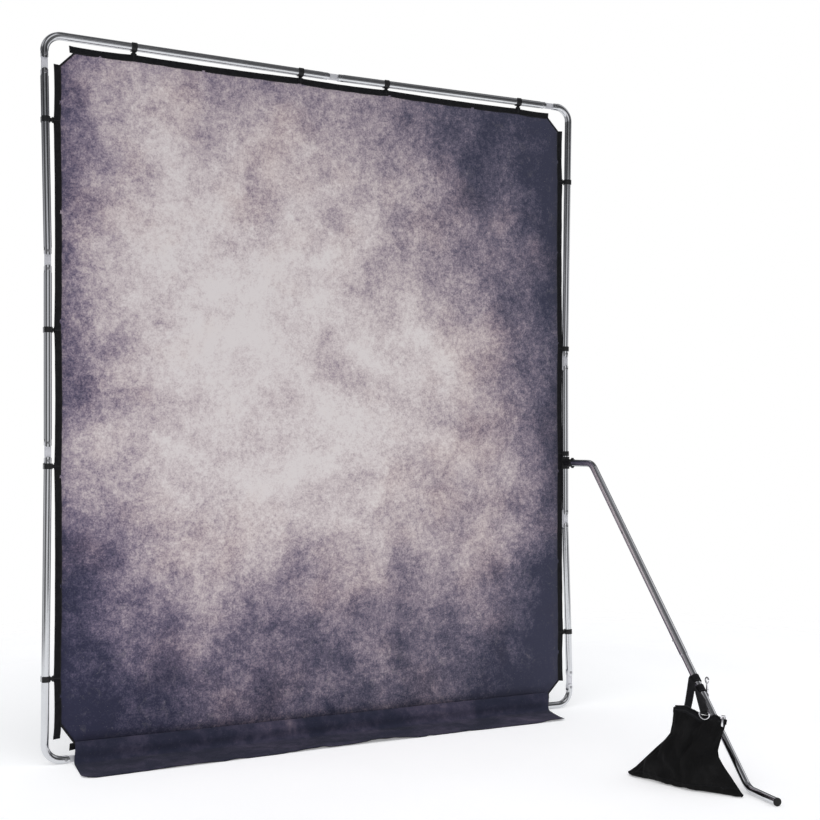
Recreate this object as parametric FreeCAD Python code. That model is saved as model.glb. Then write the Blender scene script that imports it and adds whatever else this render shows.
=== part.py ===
import FreeCAD, Part
import math
import os
from FreeCAD import Vector

# A collapsible studio background: a folding tube frame with a clipped-on printed cover, a support leg
# clamped to its right pole, and a weight bag strapped to the leg. Millimetres. X runs along the panel,
# the printed face and the leg point to -Y, and +Z is up. The origin is the bottom centre of the whole.

# Frame tubes
FRAME_WIDTH = 2000.0
FRAME_HEIGHT = 2300.0
TUBE_R = 12.7
TUBE_WALL = 1.5
CORNER_R = 52.0
RAIL_BOW = 7.0            # the cover's pull draws the middle of each side inwards by these
LEFT_BOW = 10.0
RIGHT_BOW = 18.0

# Double-pivot links and their pins
LINK_PITCH = 56.0
LINK_WIDTH = 19.0
LINK_THICKNESS = 14.0
LINK_CHAMFER = 1.2
CORNER_TO_PIN = 64.3
POLE_JOINTS = (720.0, 1320.0)
SLOT_CLEARANCE = 0.2
SLOT_DEPTH = 11.5
PLUG_DEPTH = 30.0
TIP_R = 14.2
PIN_R = 3.0
PIN_CLEARANCE = 0.05
PIN_HEAD_R = 5.0
PIN_HEAD_HEIGHT = 1.8
PIN_HEAD_FILLET = 1.26
PIN_HEAD_GAP = 0.3

# Clips that hold the cover
CLIP_BORE_R = 12.75
CLIP_R = 15.5
CLIP_HEIGHT = 18.0
CLIP_MOUTH = 17.0
TAB_REACH = 24.2
TAB_HEIGHT = 12.0
TAB_THICKNESS = 3.0
TAB_BAR_R = 2.2
LEFT_CLIPS = (270.0, 935.0, 1362.0, 2020.0)
RIGHT_CLIPS = (289.0, 968.0, 1367.0, 2004.0)
TOP_LEFT_CLIPS = (-703.0, -122.0)
TOP_RIGHT_CLIPS = (207.0, 760.0)

# Cover
BAND_INSET = 25.2
BAND_WIDTH = 24.0
BAND_THICKNESS = 2.4
FABRIC_THICKNESS = 1.2
CHAMFER = 43.0
BAND_END_SLANT = 10.0
FLAP_LEFT = -905.0
FLAP_RIGHT = 886.0
FLAP_TOP = 67.0
FLAP_BACK = 2.8
FLAP_DROP = 22.0
FLAP_SHOULDER = 36.0
FLAP_FRONT = 186.0
FLAP_BEND_R = 16.0
FLAP_THICKNESS = 2.0

# Clamp on the right pole, with the leg along -Y before it is turned by LEG_YAW
LEG_YAW = -10.6
CLAMP_Z = 933.0
CLAMP_R = 17.0
CLAMP_BORE_R = 12.8
CLAMP_HEIGHT = 46.0
SOCKET_R = 14.5
SOCKET_BORE_R = 12.75
SOCKET_BOTTOM = 18.5
SOCKET_END = 61.5
LUG_REACH = 36.0
LUG_THICKNESS = 7.0
LUG_HEIGHT = 27.0
LUG_GAP = 5.0
BOLT_X = 27.0
BOLT_R = 3.0
BOLT_HEAD_R = 5.6
BOLT_HEAD_HEIGHT = 4.0
KNOB_R = 13.0
KNOB_LENGTH = 15.0
KNOB_LOBES = 6
KNOB_LOBE_R = 3.2
KNOB_FILLET = 2.5
KNOB_END_WALL = 1.5
BOLT_END_GAP = 3.0
COLLAR_R = 15.6
COLLAR_BORE_R = 12.78
COLLAR_LENGTH = 12.0
COLLAR_WING_R = 19.5
COLLAR_WING_WIDTH = 8.0
WING_FILLET = 2.0
FACE_GAP = 0.4            # between the clamp and what turns on it

# Leg
ARM_START = 20.0
ARM_BEND_REACH = 240.0
FOOT_BEND_REACH = 1295.0
FOOT_TIP_REACH = 1440.0
ARM_BEND_R = 75.0
FOOT_BEND_R = 60.0
LOWER_R = 11.1
LOWER_WALL = 1.4
UPPER_END = 903.0         # measured down the slope from the arm's corner point
OVERLAP = 110.0
BUTTON_AT = 843.0
PACKED_HOLE_AT = 358.0
BUTTON_R = 4.0
BUTTON_OUT = 3.0
BUTTON_FILLET = 2.0
BUTTON_FLANGE_R = 5.4
BUTTON_FLANGE_X = 7.9
BUTTON_FLANGE_THICKNESS = 1.2
CAP_R = 12.0
CAP_HEAD = 4.0
CAP_FILLET = 1.5
CAP_PLUG_LENGTH = 22.0
CAP_PLUG_GAP = 0.05
SPRING_WIDTH = 6.0
SPRING_THICKNESS = 0.8
SPRING_FREE_END = -4.0    # down the slope from the button
SPRING_BEND = 38.0
SPRING_NEAR_X = 2.5
SPRING_BEND_X = 1.5
SPRING_FAR_X = 6.5

# Weight bag: its base line lies beside the leg, turned by BAG_YAW from the leg's direction
BAG_X = -170.0
BAG_Y = -1185.0
BAG_YAW = 29.0
BAG_LEAN = 29.0           # of the neck, along the bag
BAG_LEAN_TOP = 125.0      # height from which the neck stands straight
BAG_CLOTH = 2.0
FILLING_GAP = 0.6
FILLING_TOP = 100.0
STRAP_WIDTH = 25.0
STRAP_THICKNESS = 2.0
STRAP_BORE_R = 11.4
LOOP_HEIGHT = 262.0
LOOP_SPACING = 40.0
RING_WIRE_R = 2.0
RING_HALF_WIDTH = 17.5
RING_ALONG = 27.0
RING_OFF = 6.0
RING_ABOVE = 12.0
LEFT_STRAP_ALONG = -60.0
LEFT_STRAP_OFF = 4.0
LEFT_STRAP_BELOW = 10.0
RIGHT_STRAP_GAP = 4.5     # from the ring's wire centre to the strap's end
ZIP_ALONG = 84.0
ZIP_HEIGHT = 5.0
ZIP_THICKNESS = 3.0
SLIDER_GAP = 0.4
SLIDER_SIZE = Vector(12.0, 10.0, 9.0)

# Snap hook, upright beside the leg, its hook bent in the leg's plane
HOOK_X = 21.0
HOOK_TAB_OFF = 1.4
HOOK_Y = -1025.0
EYE_Z = 228.0
EYE_R = 8.0
EYE_WIRE_R = 2.0
POST_R = 2.2
POST_HEAD_R = 3.4
POST_HEAD_HEIGHT = 2.0
POST_HEAD_GAP = 0.4
POST_LENGTH = 6.0         # of which this much lies inside the barrel
BARREL_R = 5.0
BARREL_CHAMFER = 0.8
BARREL_LOW = 239.0
BARREL_HIGH = 249.0
STEM_R = 3.5
HOOK_Z = 276.0
HOOK_BEND_R = 9.0
HOOK_WIRE_R = 2.6
HOOK_END = 165.0
GATE_R = 1.6
GATE_FROM = 235.0
GATE_TO = 186.0

X = Vector(1, 0, 0)
Y = Vector(0, 1, 0)
Z = Vector(0, 0, 1)

HALF_WIDTH = FRAME_WIDTH / 2 - TUBE_R
RAIL_LOW = TUBE_R
RAIL_HIGH = FRAME_HEIGHT - TUBE_R


# ---------------------------------------------------------------- shapes

def rod(radius, start, way, length):
    return Part.makeCylinder(radius, length, start, way)


def block(low, high):
    size = high - low
    return Part.makeBox(size.x, size.y, size.z, low)


def bar(start, way, length, width, thickness):
    """A box that runs from start along way, a direction in the panel's plane. Its thickness is along Y."""
    shape = Part.makeBox(length, thickness, width, Vector(0, -thickness / 2, -width / 2))
    shape.rotate(Vector(), -Y, math.degrees(math.atan2(way.z, way.x)))
    shape.translate(start)
    return shape


def plank(start, end, across, width, thickness):
    """A flat strap from start to end, as wide as width along across."""
    along = (end - start).normalize()
    side = (across - along * across.dot(along)).normalize()
    corner = start - side * (width / 2)
    face = Part.Face(Part.makePolygon([corner, corner + side * width,
                                       corner + side * width + (end - start),
                                       corner + (end - start), corner]))
    normal = along.cross(side)
    face.translate(normal * (-thickness / 2))
    return face.extrude(normal * thickness)


def corner_arcs(points, radius):
    """Start, middle, end and centre of the tangent arc at each corner of the run through points."""
    arcs = []
    for before, corner, after in zip(points, points[1:], points[2:]):
        back = (before - corner).normalize()
        ahead = (after - corner).normalize()
        half_angle = back.getAngle(ahead) / 2
        reach = radius / math.tan(half_angle)
        inward = (back + ahead).normalize()
        centre = corner + inward * (radius / math.sin(half_angle))
        arcs.append((corner + back * reach, centre - inward * radius, corner + ahead * reach, centre))
    return arcs


def rounded_path(points, radius):
    edges = []
    start = points[0]
    for first, middle, last, _ in corner_arcs(points, radius):
        edges.append(Part.LineSegment(start, first).toShape())
        edges.append(Part.Arc(first, middle, last).toShape())
        start = last
    edges.append(Part.LineSegment(start, points[-1]).toShape())
    return Part.Wire(edges)


def elbow(radius, first, last, centre):
    """The part of a ring that turns from first to last about centre."""
    axis = (first - centre).cross(last - centre)
    turn = math.degrees((first - centre).getAngle(last - centre))
    section = Part.Face(Part.Wire(Part.makeCircle(radius, first, axis.cross(first - centre))))
    return section.revolve(centre, axis, turn)


def bent_rod(points, bend_r, radius):
    """A round bar through points, with an arc of bend_r at each corner."""
    solids = []
    start = points[0]
    for first, _, last, centre in corner_arcs(points, bend_r):
        solids.append(rod(radius, start, first - start, (first - start).Length))
        solids.append(elbow(radius, first, last, centre))
        start = last
    run = points[-1] - start
    last_rod = rod(radius, start, run, run.Length)
    if not solids:
        return last_rod
    return last_rod.fuse(solids).removeSplitter()


def pipe_along(points, bend_r, radius, wall):
    return bent_rod(points, bend_r, radius).cut(bent_rod(points, bend_r, radius - wall))


def edges_at(shape, axis, value):
    """The edges whose middle lies at this value of x, y or z."""
    return [e for e in shape.Edges if abs(getattr(e.CenterOfMass, axis) - value) < 0.01]


def towards(start, end, distance):
    return start + (end - start).normalize() * distance


# ---------------------------------------------------------------- frame

def fork_end(tube, pin, way):
    """Rounds the tip of the tube's plugged end, slots it for the link and drills it for the pin."""
    side = 3 * TUBE_R
    tip_centre = pin - way * (TIP_R - TUBE_R)
    tip = bar(pin, way, side, side, side).cut(rod(TIP_R, tip_centre - Y * side, Y, 2 * side))
    slot_start = pin - way * SLOT_DEPTH
    slot = bar(slot_start, way, side, side, LINK_THICKNESS + 2 * SLOT_CLEARANCE)
    hole = rod(PIN_R + PIN_CLEARANCE, pin - Y * side, Y, 2 * side)
    return tube.cut(tip).cut(slot).cut(hole).removeSplitter()


def frame_tube(points):
    """A tube whose first and last points are the pin centres in its two forked ends."""
    ways = [(points[0] - points[1]).normalize(), (points[-1] - points[-2]).normalize()]
    ends = list(zip((points[0], points[-1]), ways))
    tips = [pin + way * TUBE_R for pin, way in ends]
    run = [tips[0]] + points[1:-1] + [tips[1]]
    bore = bent_rod(run, CORNER_R, TUBE_R - TUBE_WALL)
    side = 4 * TUBE_R
    for pin, way in ends:
        bore = bore.cut(bar(pin - way * PLUG_DEPTH, way, side, side, side))
    tube = bent_rod(run, CORNER_R, TUBE_R).cut(bore)
    for pin, way in ends:
        tube = fork_end(tube, pin, way)
    return tube


def link(pins):
    start, end = pins
    way = (end - start).normalize()
    body = bar(start, way, (end - start).Length, LINK_WIDTH, LINK_THICKNESS)
    for pin in pins:
        body = body.fuse(rod(LINK_WIDTH / 2, pin - Y * (LINK_THICKNESS / 2), Y, LINK_THICKNESS))
    body = body.removeSplitter()
    rims = edges_at(body, "y", -LINK_THICKNESS / 2) + edges_at(body, "y", LINK_THICKNESS / 2)
    body = body.makeChamfer(LINK_CHAMFER, rims)
    for pin in pins:
        body = body.cut(rod(PIN_R, pin - Y * LINK_THICKNESS, Y, 2 * LINK_THICKNESS))
    return body


def pivot_pin(centre):
    half = TUBE_R + PIN_HEAD_GAP
    pin = rod(PIN_R, centre - Y * half, Y, 2 * half)
    for side in (-1, 1):
        head = rod(PIN_HEAD_R, centre + Y * (side * half), Y * side, PIN_HEAD_HEIGHT)
        rim = edges_at(head, "y", centre.y + side * (half + PIN_HEAD_HEIGHT))
        pin = pin.fuse(head.makeFillet(PIN_HEAD_FILLET, rim))
    return pin


def clip(centre, way, inward):
    """A C-shaped clip on a tube that runs along way, open outwards, with a tab towards the cover."""
    foot = centre - way * (CLIP_HEIGHT / 2)
    ring = rod(CLIP_R, foot, way, CLIP_HEIGHT).fuse(
        bar(centre, inward, TAB_REACH, TAB_HEIGHT, TAB_THICKNESS))
    tab_bar = centre + inward * (TAB_REACH - TAB_BAR_R) - way * (CLIP_HEIGHT / 2)
    ring = ring.fuse(rod(TAB_BAR_R, tab_bar, way, CLIP_HEIGHT))
    mouth = bar(centre, inward * -1, 2 * CLIP_R, 2 * CLIP_HEIGHT, CLIP_MOUTH)
    bore = rod(CLIP_BORE_R, centre - way * CLIP_HEIGHT, way, 2 * CLIP_HEIGHT)
    return ring.cut(mouth).cut(bore).removeSplitter()


def turned(point):
    """The frame looks the same after half a turn about its middle."""
    return Vector(-point.x, 0, FRAME_HEIGHT - point.z)


def half_pole(bow):
    """Pin centres of the right pole's three tubes, from the bottom up."""
    lower, upper = POLE_JOINTS
    middle_x = HALF_WIDTH - bow
    levels = [z + side * LINK_PITCH / 2 for z in (lower, upper) for side in (-1, 1)]
    pins = [Vector(middle_x, 0, z) for z in levels]
    return [[RIGHT_BOTTOM_FAR, pins[0]], [pins[1], pins[2]], [pins[3], TOP_RIGHT, TOP_RIGHT_NEAR]]


TOP_RIGHT = Vector(HALF_WIDTH, 0, RAIL_HIGH)
TOP_LEFT = Vector(-HALF_WIDTH, 0, RAIL_HIGH)
TOP_CENTRE_RIGHT = Vector(LINK_PITCH / 2, 0, RAIL_HIGH - RAIL_BOW)
TOP_CENTRE_LEFT = Vector(-LINK_PITCH / 2, 0, RAIL_HIGH - RAIL_BOW)
TOP_RIGHT_NEAR = towards(TOP_RIGHT, TOP_CENTRE_RIGHT, CORNER_TO_PIN)
TOP_RIGHT_FAR = towards(TOP_RIGHT, TOP_CENTRE_RIGHT, CORNER_TO_PIN + LINK_PITCH)
LEFT_TOP_NEAR = TOP_LEFT - Z * CORNER_TO_PIN
LEFT_TOP_FAR = TOP_LEFT - Z * (CORNER_TO_PIN + LINK_PITCH)
RIGHT_BOTTOM_FAR = turned(LEFT_TOP_FAR)
RIGHT_BOTTOM_NEAR = turned(LEFT_TOP_NEAR)

RIGHT_POLE = half_pole(RIGHT_BOW)
LEFT_POLE = [[turned(p) for p in points] for points in half_pole(LEFT_BOW)]
TOP_RIGHT_RUN = [TOP_RIGHT_FAR, TOP_CENTRE_RIGHT]
TOP_LEFT_RUN = [TOP_CENTRE_LEFT, TOP_LEFT, LEFT_TOP_NEAR]

TUBES = {
    "right_lower_tube": RIGHT_POLE[0],
    "right_middle_tube": RIGHT_POLE[1],
    "right_upper_tube": RIGHT_POLE[2],
    "left_upper_tube": LEFT_POLE[0],
    "left_middle_tube": LEFT_POLE[1],
    "left_lower_tube": LEFT_POLE[2],
    "top_right_tube": TOP_RIGHT_RUN,
    "top_left_tube": TOP_LEFT_RUN,
    "bottom_left_tube": [turned(p) for p in TOP_RIGHT_RUN],
    "bottom_right_tube": [turned(p) for p in TOP_LEFT_RUN],
}

FOLD_LINKS = {
    "top_right": (TOP_RIGHT_NEAR, TOP_RIGHT_FAR),
    "top_centre": (TOP_CENTRE_RIGHT, TOP_CENTRE_LEFT),
    "left_top": (LEFT_TOP_NEAR, LEFT_TOP_FAR),
    "right_bottom": (RIGHT_BOTTOM_FAR, RIGHT_BOTTOM_NEAR),
    "bottom_centre": (turned(TOP_CENTRE_LEFT), turned(TOP_CENTRE_RIGHT)),
    "bottom_left": (turned(TOP_RIGHT_FAR), turned(TOP_RIGHT_NEAR)),
}


def pole_link_pins(pole):
    return [(pole[0][-1], pole[1][0]), (pole[1][-1], pole[2][0])]


def on_run(run, distance_axis, value):
    """The point of a straight run where its x or z has the value, and the run's direction."""
    start, end = run[0], run[1]
    way = (end - start).normalize()
    if distance_axis == "x":
        share = (value - start.x) / way.x
    else:
        share = (value - start.z) / way.z
    return start + way * share, way


def pole_clips(pole, heights, side):
    found = []
    for height in heights:
        run = [r for r in pole if min(r[0].z, r[1].z) < height < max(r[0].z, r[1].z)][0]
        centre, way = on_run(run, "z", height)
        if way.z < 0:
            way = way * -1
        found.append(clip(centre, way, way.cross(Y) * side))
    return found


def rail_clips(run, places, side):
    found = []
    for place in places:
        centre, way = on_run(run, "x", place)
        if way.x < 0:
            way = way * -1
        found.append(clip(centre, way, way.cross(Y) * side))
    return found


def frame_nodes():
    nodes = {name: frame_tube(points) for name, points in TUBES.items()}
    for name, pins in FOLD_LINKS.items():
        nodes["link_" + name] = link(pins)
        nodes["pins_" + name] = [pivot_pin(p) for p in pins]
    for side, pole in (("right", RIGHT_POLE), ("left", LEFT_POLE)):
        pairs = pole_link_pins(pole)
        nodes[side + "_pole_links"] = [link(pins) for pins in pairs]
        nodes[side + "_pole_pins"] = [pivot_pin(p) for pins in pairs for p in pins]
    bottom_right = [turned(p) for p in TOP_LEFT_RUN]
    bottom_left = [turned(p) for p in TOP_RIGHT_RUN]
    nodes["clips_right_pole"] = pole_clips(RIGHT_POLE, RIGHT_CLIPS, 1)
    nodes["clips_left_pole"] = pole_clips(LEFT_POLE, LEFT_CLIPS, -1)
    nodes["clips_top_left"] = rail_clips(TOP_LEFT_RUN, TOP_LEFT_CLIPS, -1)
    nodes["clips_top_right"] = rail_clips(TOP_RIGHT_RUN, TOP_RIGHT_CLIPS, -1)
    nodes["clips_bottom_right"] = rail_clips(bottom_right, [-x for x in TOP_LEFT_CLIPS], 1)
    nodes["clips_bottom_left"] = rail_clips(bottom_left, [-x for x in TOP_RIGHT_CLIPS], 1)
    return nodes


# ---------------------------------------------------------------- cover

def bowed_outline(inset):
    """The cover's outline at this distance inside the tubes' centre lines, each side drawn inwards."""
    right = HALF_WIDTH - inset
    low = RAIL_LOW + inset
    high = RAIL_HIGH - inset
    middle = FRAME_HEIGHT / 2
    corners = [Vector(-right, 0, low), Vector(right, 0, low), Vector(right, 0, high), Vector(-right, 0, high)]
    middles = [Vector(0, 0, low + RAIL_BOW), Vector(right - RIGHT_BOW, 0, middle),
               Vector(0, 0, high - RAIL_BOW), Vector(-right + LEFT_BOW, 0, middle)]
    arcs = [Part.Arc(a, m, b).toShape() for a, m, b in zip(corners, middles, corners[1:] + corners[:1])]
    return Part.Face(Part.Wire(arcs))


def sheet_of(face, thickness):
    flat = face.copy()
    flat.translate(Y * (-thickness / 2))
    return flat.extrude(Y * thickness)


def corner_cutter(side_x, side_z):
    """What the 45 degree corner leaves out: a wedge beyond the chamfer, between the slanted band ends."""
    inset = BAND_INSET + BAND_WIDTH
    reach = BAND_WIDTH + 6.0
    inner_x = side_x * (HALF_WIDTH - inset)
    inner_z = FRAME_HEIGHT / 2 + side_z * (FRAME_HEIGHT / 2 - TUBE_R - inset)
    on_rail = Vector(inner_x - side_x * CHAMFER, 0, inner_z)
    on_pole = Vector(inner_x, 0, inner_z - side_z * CHAMFER)
    corners = [on_rail, on_rail + Vector(side_x * BAND_END_SLANT, 0, side_z * reach),
               Vector(inner_x + side_x * reach, 0, inner_z + side_z * reach),
               on_pole + Vector(side_x * reach, 0, side_z * BAND_END_SLANT), on_pole, on_rail]
    return sheet_of(Part.Face(Part.makePolygon(corners)), 4 * BAND_THICKNESS)


def flap():
    """A skirt from the cover's bottom seam, down in front of the rail and forward over the floor."""
    half = FLAP_THICKNESS / 2
    path = rounded_path([Vector(0, -FLAP_BACK, FLAP_TOP), Vector(0, -FLAP_DROP, FLAP_SHOULDER),
                         Vector(0, -FLAP_DROP, half), Vector(0, -FLAP_FRONT, half)], FLAP_BEND_R)
    first = path.Edges[0]
    start = first.valueAt(first.FirstParameter)
    across = first.tangentAt(first.FirstParameter).cross(X).normalize() * half
    left = start + X * FLAP_LEFT
    right = start + X * FLAP_RIGHT
    section = Part.makePolygon([left - across, right - across, right + across, left + across, left - across])
    return path.makePipeShell([section], True, False)


def cover_nodes():
    outer = bowed_outline(BAND_INSET)
    inner = bowed_outline(BAND_INSET + BAND_WIDTH)
    cutters = [corner_cutter(sx, sz) for sx in (-1, 1) for sz in (-1, 1)]
    fabric = sheet_of(inner, FABRIC_THICKNESS).cut(cutters)
    bands = sheet_of(outer.cut(inner), BAND_THICKNESS).cut(cutters).Solids
    middle = FRAME_HEIGHT / 2
    return {
        "cover_fabric": fabric,
        "edge_band_left": [b for b in bands if b.CenterOfMass.x < -middle / 2],
        "edge_band_right": [b for b in bands if b.CenterOfMass.x > middle / 2],
        "edge_band_top": [b for b in bands if b.CenterOfMass.z > 1.5 * middle],
        "edge_band_bottom": [b for b in bands if b.CenterOfMass.z < 0.5 * middle],
        "floor_flap": flap(),
    }


# ---------------------------------------------------------------- clamp and leg, along -Y

ARM_CORNER = Vector(0, -ARM_BEND_REACH, CLAMP_Z)
FOOT_CORNER = Vector(0, -FOOT_BEND_REACH, CAP_R)
FOOT_TIP = Vector(0, -FOOT_TIP_REACH, CAP_R)
SLOPE = (FOOT_CORNER - ARM_CORNER).normalize()


def clamp_body():
    """A split ring round the pole, with a socket for the leg and two lugs for the clamp bolt."""
    middle = Vector(0, 0, CLAMP_Z)
    body = rod(CLAMP_R, middle - Z * (CLAMP_HEIGHT / 2), Z, CLAMP_HEIGHT)
    body = body.fuse(rod(SOCKET_R, middle, -Y, SOCKET_END))
    half_gap = LUG_GAP / 2
    lug_y = half_gap + LUG_THICKNESS
    body = body.fuse(block(Vector(0, -lug_y, CLAMP_Z - LUG_HEIGHT / 2),
                           Vector(LUG_REACH, lug_y, CLAMP_Z + LUG_HEIGHT / 2)))
    body = body.cut(block(Vector(0, -half_gap, CLAMP_Z - CLAMP_HEIGHT),
                          Vector(2 * LUG_REACH, half_gap, CLAMP_Z + CLAMP_HEIGHT)))
    body = body.cut(rod(CLAMP_BORE_R, middle - Z * CLAMP_HEIGHT, Z, 2 * CLAMP_HEIGHT))
    body = body.cut(rod(SOCKET_BORE_R, middle - Y * SOCKET_BOTTOM, -Y, SOCKET_END))
    bolt_hole = Vector(BOLT_X, -2 * lug_y, CLAMP_Z)
    return body.cut(rod(BOLT_R + 0.1, bolt_hole, Y, 4 * lug_y)).removeSplitter()


def hexagon(centre, radius, way, height):
    turn = math.pi / 3
    ways = [X * math.cos(k * turn) + Z * math.sin(k * turn) for k in range(7)]
    return Part.Face(Part.makePolygon([centre + w * radius for w in ways])).extrude(way * height)


def clamp_bolt():
    lug_y = LUG_GAP / 2 + LUG_THICKNESS
    seat = Vector(BOLT_X, -lug_y, CLAMP_Z)
    shank = rod(BOLT_R, seat, Y, 2 * lug_y + KNOB_LENGTH - BOLT_END_GAP)
    return shank.fuse(hexagon(seat, BOLT_HEAD_R, -Y, BOLT_HEAD_HEIGHT))


def clamp_knob():
    seat = Vector(BOLT_X, LUG_GAP / 2 + LUG_THICKNESS + FACE_GAP, CLAMP_Z)
    knob = rod(KNOB_R, seat, Y, KNOB_LENGTH)
    knob = knob.makeFillet(KNOB_FILLET, edges_at(knob, "y", seat.y + KNOB_LENGTH))
    for lobe in range(KNOB_LOBES):
        angle = 2 * math.pi * lobe / KNOB_LOBES
        way = X * math.cos(angle) + Z * math.sin(angle)
        knob = knob.cut(rod(KNOB_LOBE_R, seat + way * (KNOB_R + 1.0) - Y, Y, KNOB_LENGTH + 2))
    return knob.cut(rod(BOLT_R + PIN_CLEARANCE, seat - Y, Y, KNOB_LENGTH + 1 - KNOB_END_WALL))


def lock_collar():
    """A ring that draws the socket tight, turned by two wings."""
    start = Vector(0, -SOCKET_END - FACE_GAP, CLAMP_Z)
    collar = rod(COLLAR_R, start, -Y, COLLAR_LENGTH)
    half = COLLAR_WING_WIDTH / 2
    wing = block(Vector(-half, start.y - COLLAR_LENGTH, CLAMP_Z - COLLAR_WING_R),
                 Vector(half, start.y - COLLAR_LENGTH / 3, CLAMP_Z + COLLAR_WING_R))
    tips = edges_at(wing, "z", CLAMP_Z - COLLAR_WING_R) + edges_at(wing, "z", CLAMP_Z + COLLAR_WING_R)
    collar = collar.fuse(wing.makeFillet(WING_FILLET, tips))
    return collar.cut(rod(COLLAR_BORE_R, start + Y, -Y, 2 * COLLAR_LENGTH)).removeSplitter()


def leg_upper():
    end = ARM_CORNER + SLOPE * UPPER_END
    tube = pipe_along([Vector(0, -ARM_START, CLAMP_Z), ARM_CORNER, end], ARM_BEND_R, TUBE_R, TUBE_WALL)
    for place in (BUTTON_AT, PACKED_HOLE_AT):
        tube = tube.cut(rod(BUTTON_R + 0.3, ARM_CORNER + SLOPE * place, -X, 2 * TUBE_R))
    return tube


def leg_lower():
    start = ARM_CORNER + SLOPE * (UPPER_END - OVERLAP)
    tube = pipe_along([start, FOOT_CORNER, FOOT_TIP], FOOT_BEND_R, LOWER_R, LOWER_WALL)
    return tube.cut(rod(BUTTON_R + 0.1, ARM_CORNER + SLOPE * BUTTON_AT, -X, 2 * TUBE_R))


def leg_button():
    centre = ARM_CORNER + SLOPE * BUTTON_AT
    top = TUBE_R + BUTTON_OUT
    button = rod(BUTTON_R, centre - X * BUTTON_FLANGE_X, -X, top - BUTTON_FLANGE_X)
    button = button.makeFillet(BUTTON_FILLET, edges_at(button, "x", -top))
    flange = centre - X * (BUTTON_FLANGE_X - BUTTON_FLANGE_THICKNESS)
    return button.fuse(rod(BUTTON_FLANGE_R, flange, -X, BUTTON_FLANGE_THICKNESS)).removeSplitter()


def leg_spring():
    """A leaf bent double inside the lower tube, behind the button."""
    free = ARM_CORNER + SLOPE * (BUTTON_AT + SPRING_FREE_END)
    bend = ARM_CORNER + SLOPE * (BUTTON_AT + SPRING_BEND)
    corners = [free - X * SPRING_NEAR_X, bend + X * SPRING_BEND_X,
               bend + X * SPRING_FAR_X, free + X * SPRING_FAR_X]
    leaves = [plank(a, b, Y, SPRING_WIDTH, SPRING_THICKNESS) for a, b in zip(corners, corners[1:])]
    return leaves[0].fuse(leaves[1:]).removeSplitter()


def end_cap():
    """A round head against the tube's end, with a plug inside the tube."""
    head = rod(CAP_R, FOOT_TIP, -Y, CAP_HEAD)
    head = head.makeFillet(CAP_FILLET, edges_at(head, "y", FOOT_TIP.y - CAP_HEAD))
    plug = rod(LOWER_R - LOWER_WALL - CAP_PLUG_GAP, FOOT_TIP + Y * CAP_PLUG_LENGTH, -Y, CAP_PLUG_LENGTH)
    return head.fuse(plug).removeSplitter()


def leg_nodes():
    return {
        "clamp_body": clamp_body(),
        "clamp_bolt": clamp_bolt(),
        "clamp_knob": clamp_knob(),
        "lock_collar": lock_collar(),
        "leg_upper_tube": leg_upper(),
        "leg_lower_tube": leg_lower(),
        "leg_button": leg_button(),
        "leg_button_spring": leg_spring(),
        "leg_end_cap": end_cap(),
    }


# ---------------------------------------------------------------- weight bag, beside the leg

BAG_ALONG = Vector(math.sin(math.radians(BAG_YAW)), -math.cos(math.radians(BAG_YAW)), 0)
BAG_TO_LEG = Vector(math.cos(math.radians(BAG_YAW)), math.sin(math.radians(BAG_YAW)), 0)
BAG_BASE = Vector(BAG_X, BAG_Y, 0)

# The bag's level sections: height, half length, half thickness, shift towards the leg
BAG_SECTIONS = (
    (0.0, 195.0, 34.0, 26.0),
    (28.0, 178.0, 50.0, 32.0),
    (75.0, 130.0, 46.0, 45.0),
    (125.0, 93.0, 30.0, 62.0),
    (205.0, 90.0, 13.0, 78.0),
)


def bag_point(along, to_leg, height):
    lean = BAG_LEAN * min(height / BAG_LEAN_TOP, 1.0)
    return BAG_BASE + BAG_ALONG * (along + lean) + BAG_TO_LEG * to_leg + Z * height


def bag_solid(inset, top):
    """The bag's form, drawn in by inset on every side and cut off at the height top."""
    rings = []
    for height, half_length, half_thickness, shift in BAG_SECTIONS:
        centre = bag_point(0, shift, height)
        ellipse = Part.Ellipse(centre + BAG_ALONG * (half_length - inset),
                               centre + BAG_TO_LEG * (half_thickness - inset), centre)
        rings.append(Part.Wire(ellipse.toShape()))
    solid = Part.makeLoft(rings, True, False)
    reach = BAG_SECTIONS[0][1]
    keep = block(Vector(BAG_X - reach, BAG_Y - reach, inset), Vector(BAG_X + reach, BAG_Y + reach, top))
    return solid.common(keep)


def strap_ring(centre):
    """A turn of webbing round the lower leg tube."""
    foot = centre - SLOPE * (STRAP_WIDTH / 2)
    outer_r = STRAP_BORE_R + STRAP_THICKNESS
    return rod(outer_r, foot, SLOPE, STRAP_WIDTH).cut(
        rod(STRAP_BORE_R, foot - SLOPE, SLOPE, STRAP_WIDTH + 2))


def loop_centre(offset):
    down = (CLAMP_Z - LOOP_HEIGHT) / -SLOPE.z
    return ARM_CORNER + SLOPE * (down + offset)


def strap(offset, low_end):
    """A turn of webbing round the leg, and the flat run from it down to the bag."""
    centre = loop_centre(offset)
    ring = strap_ring(centre)
    tangent = centre - X * (STRAP_BORE_R + STRAP_THICKNESS / 2)
    run = plank(tangent, low_end, BAG_ALONG, STRAP_WIDTH, STRAP_THICKNESS)
    run = run.cut(rod(STRAP_BORE_R, centre - SLOPE * (2 * STRAP_WIDTH), SLOPE, 4 * STRAP_WIDTH))
    return ring.fuse(run).removeSplitter()


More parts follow.
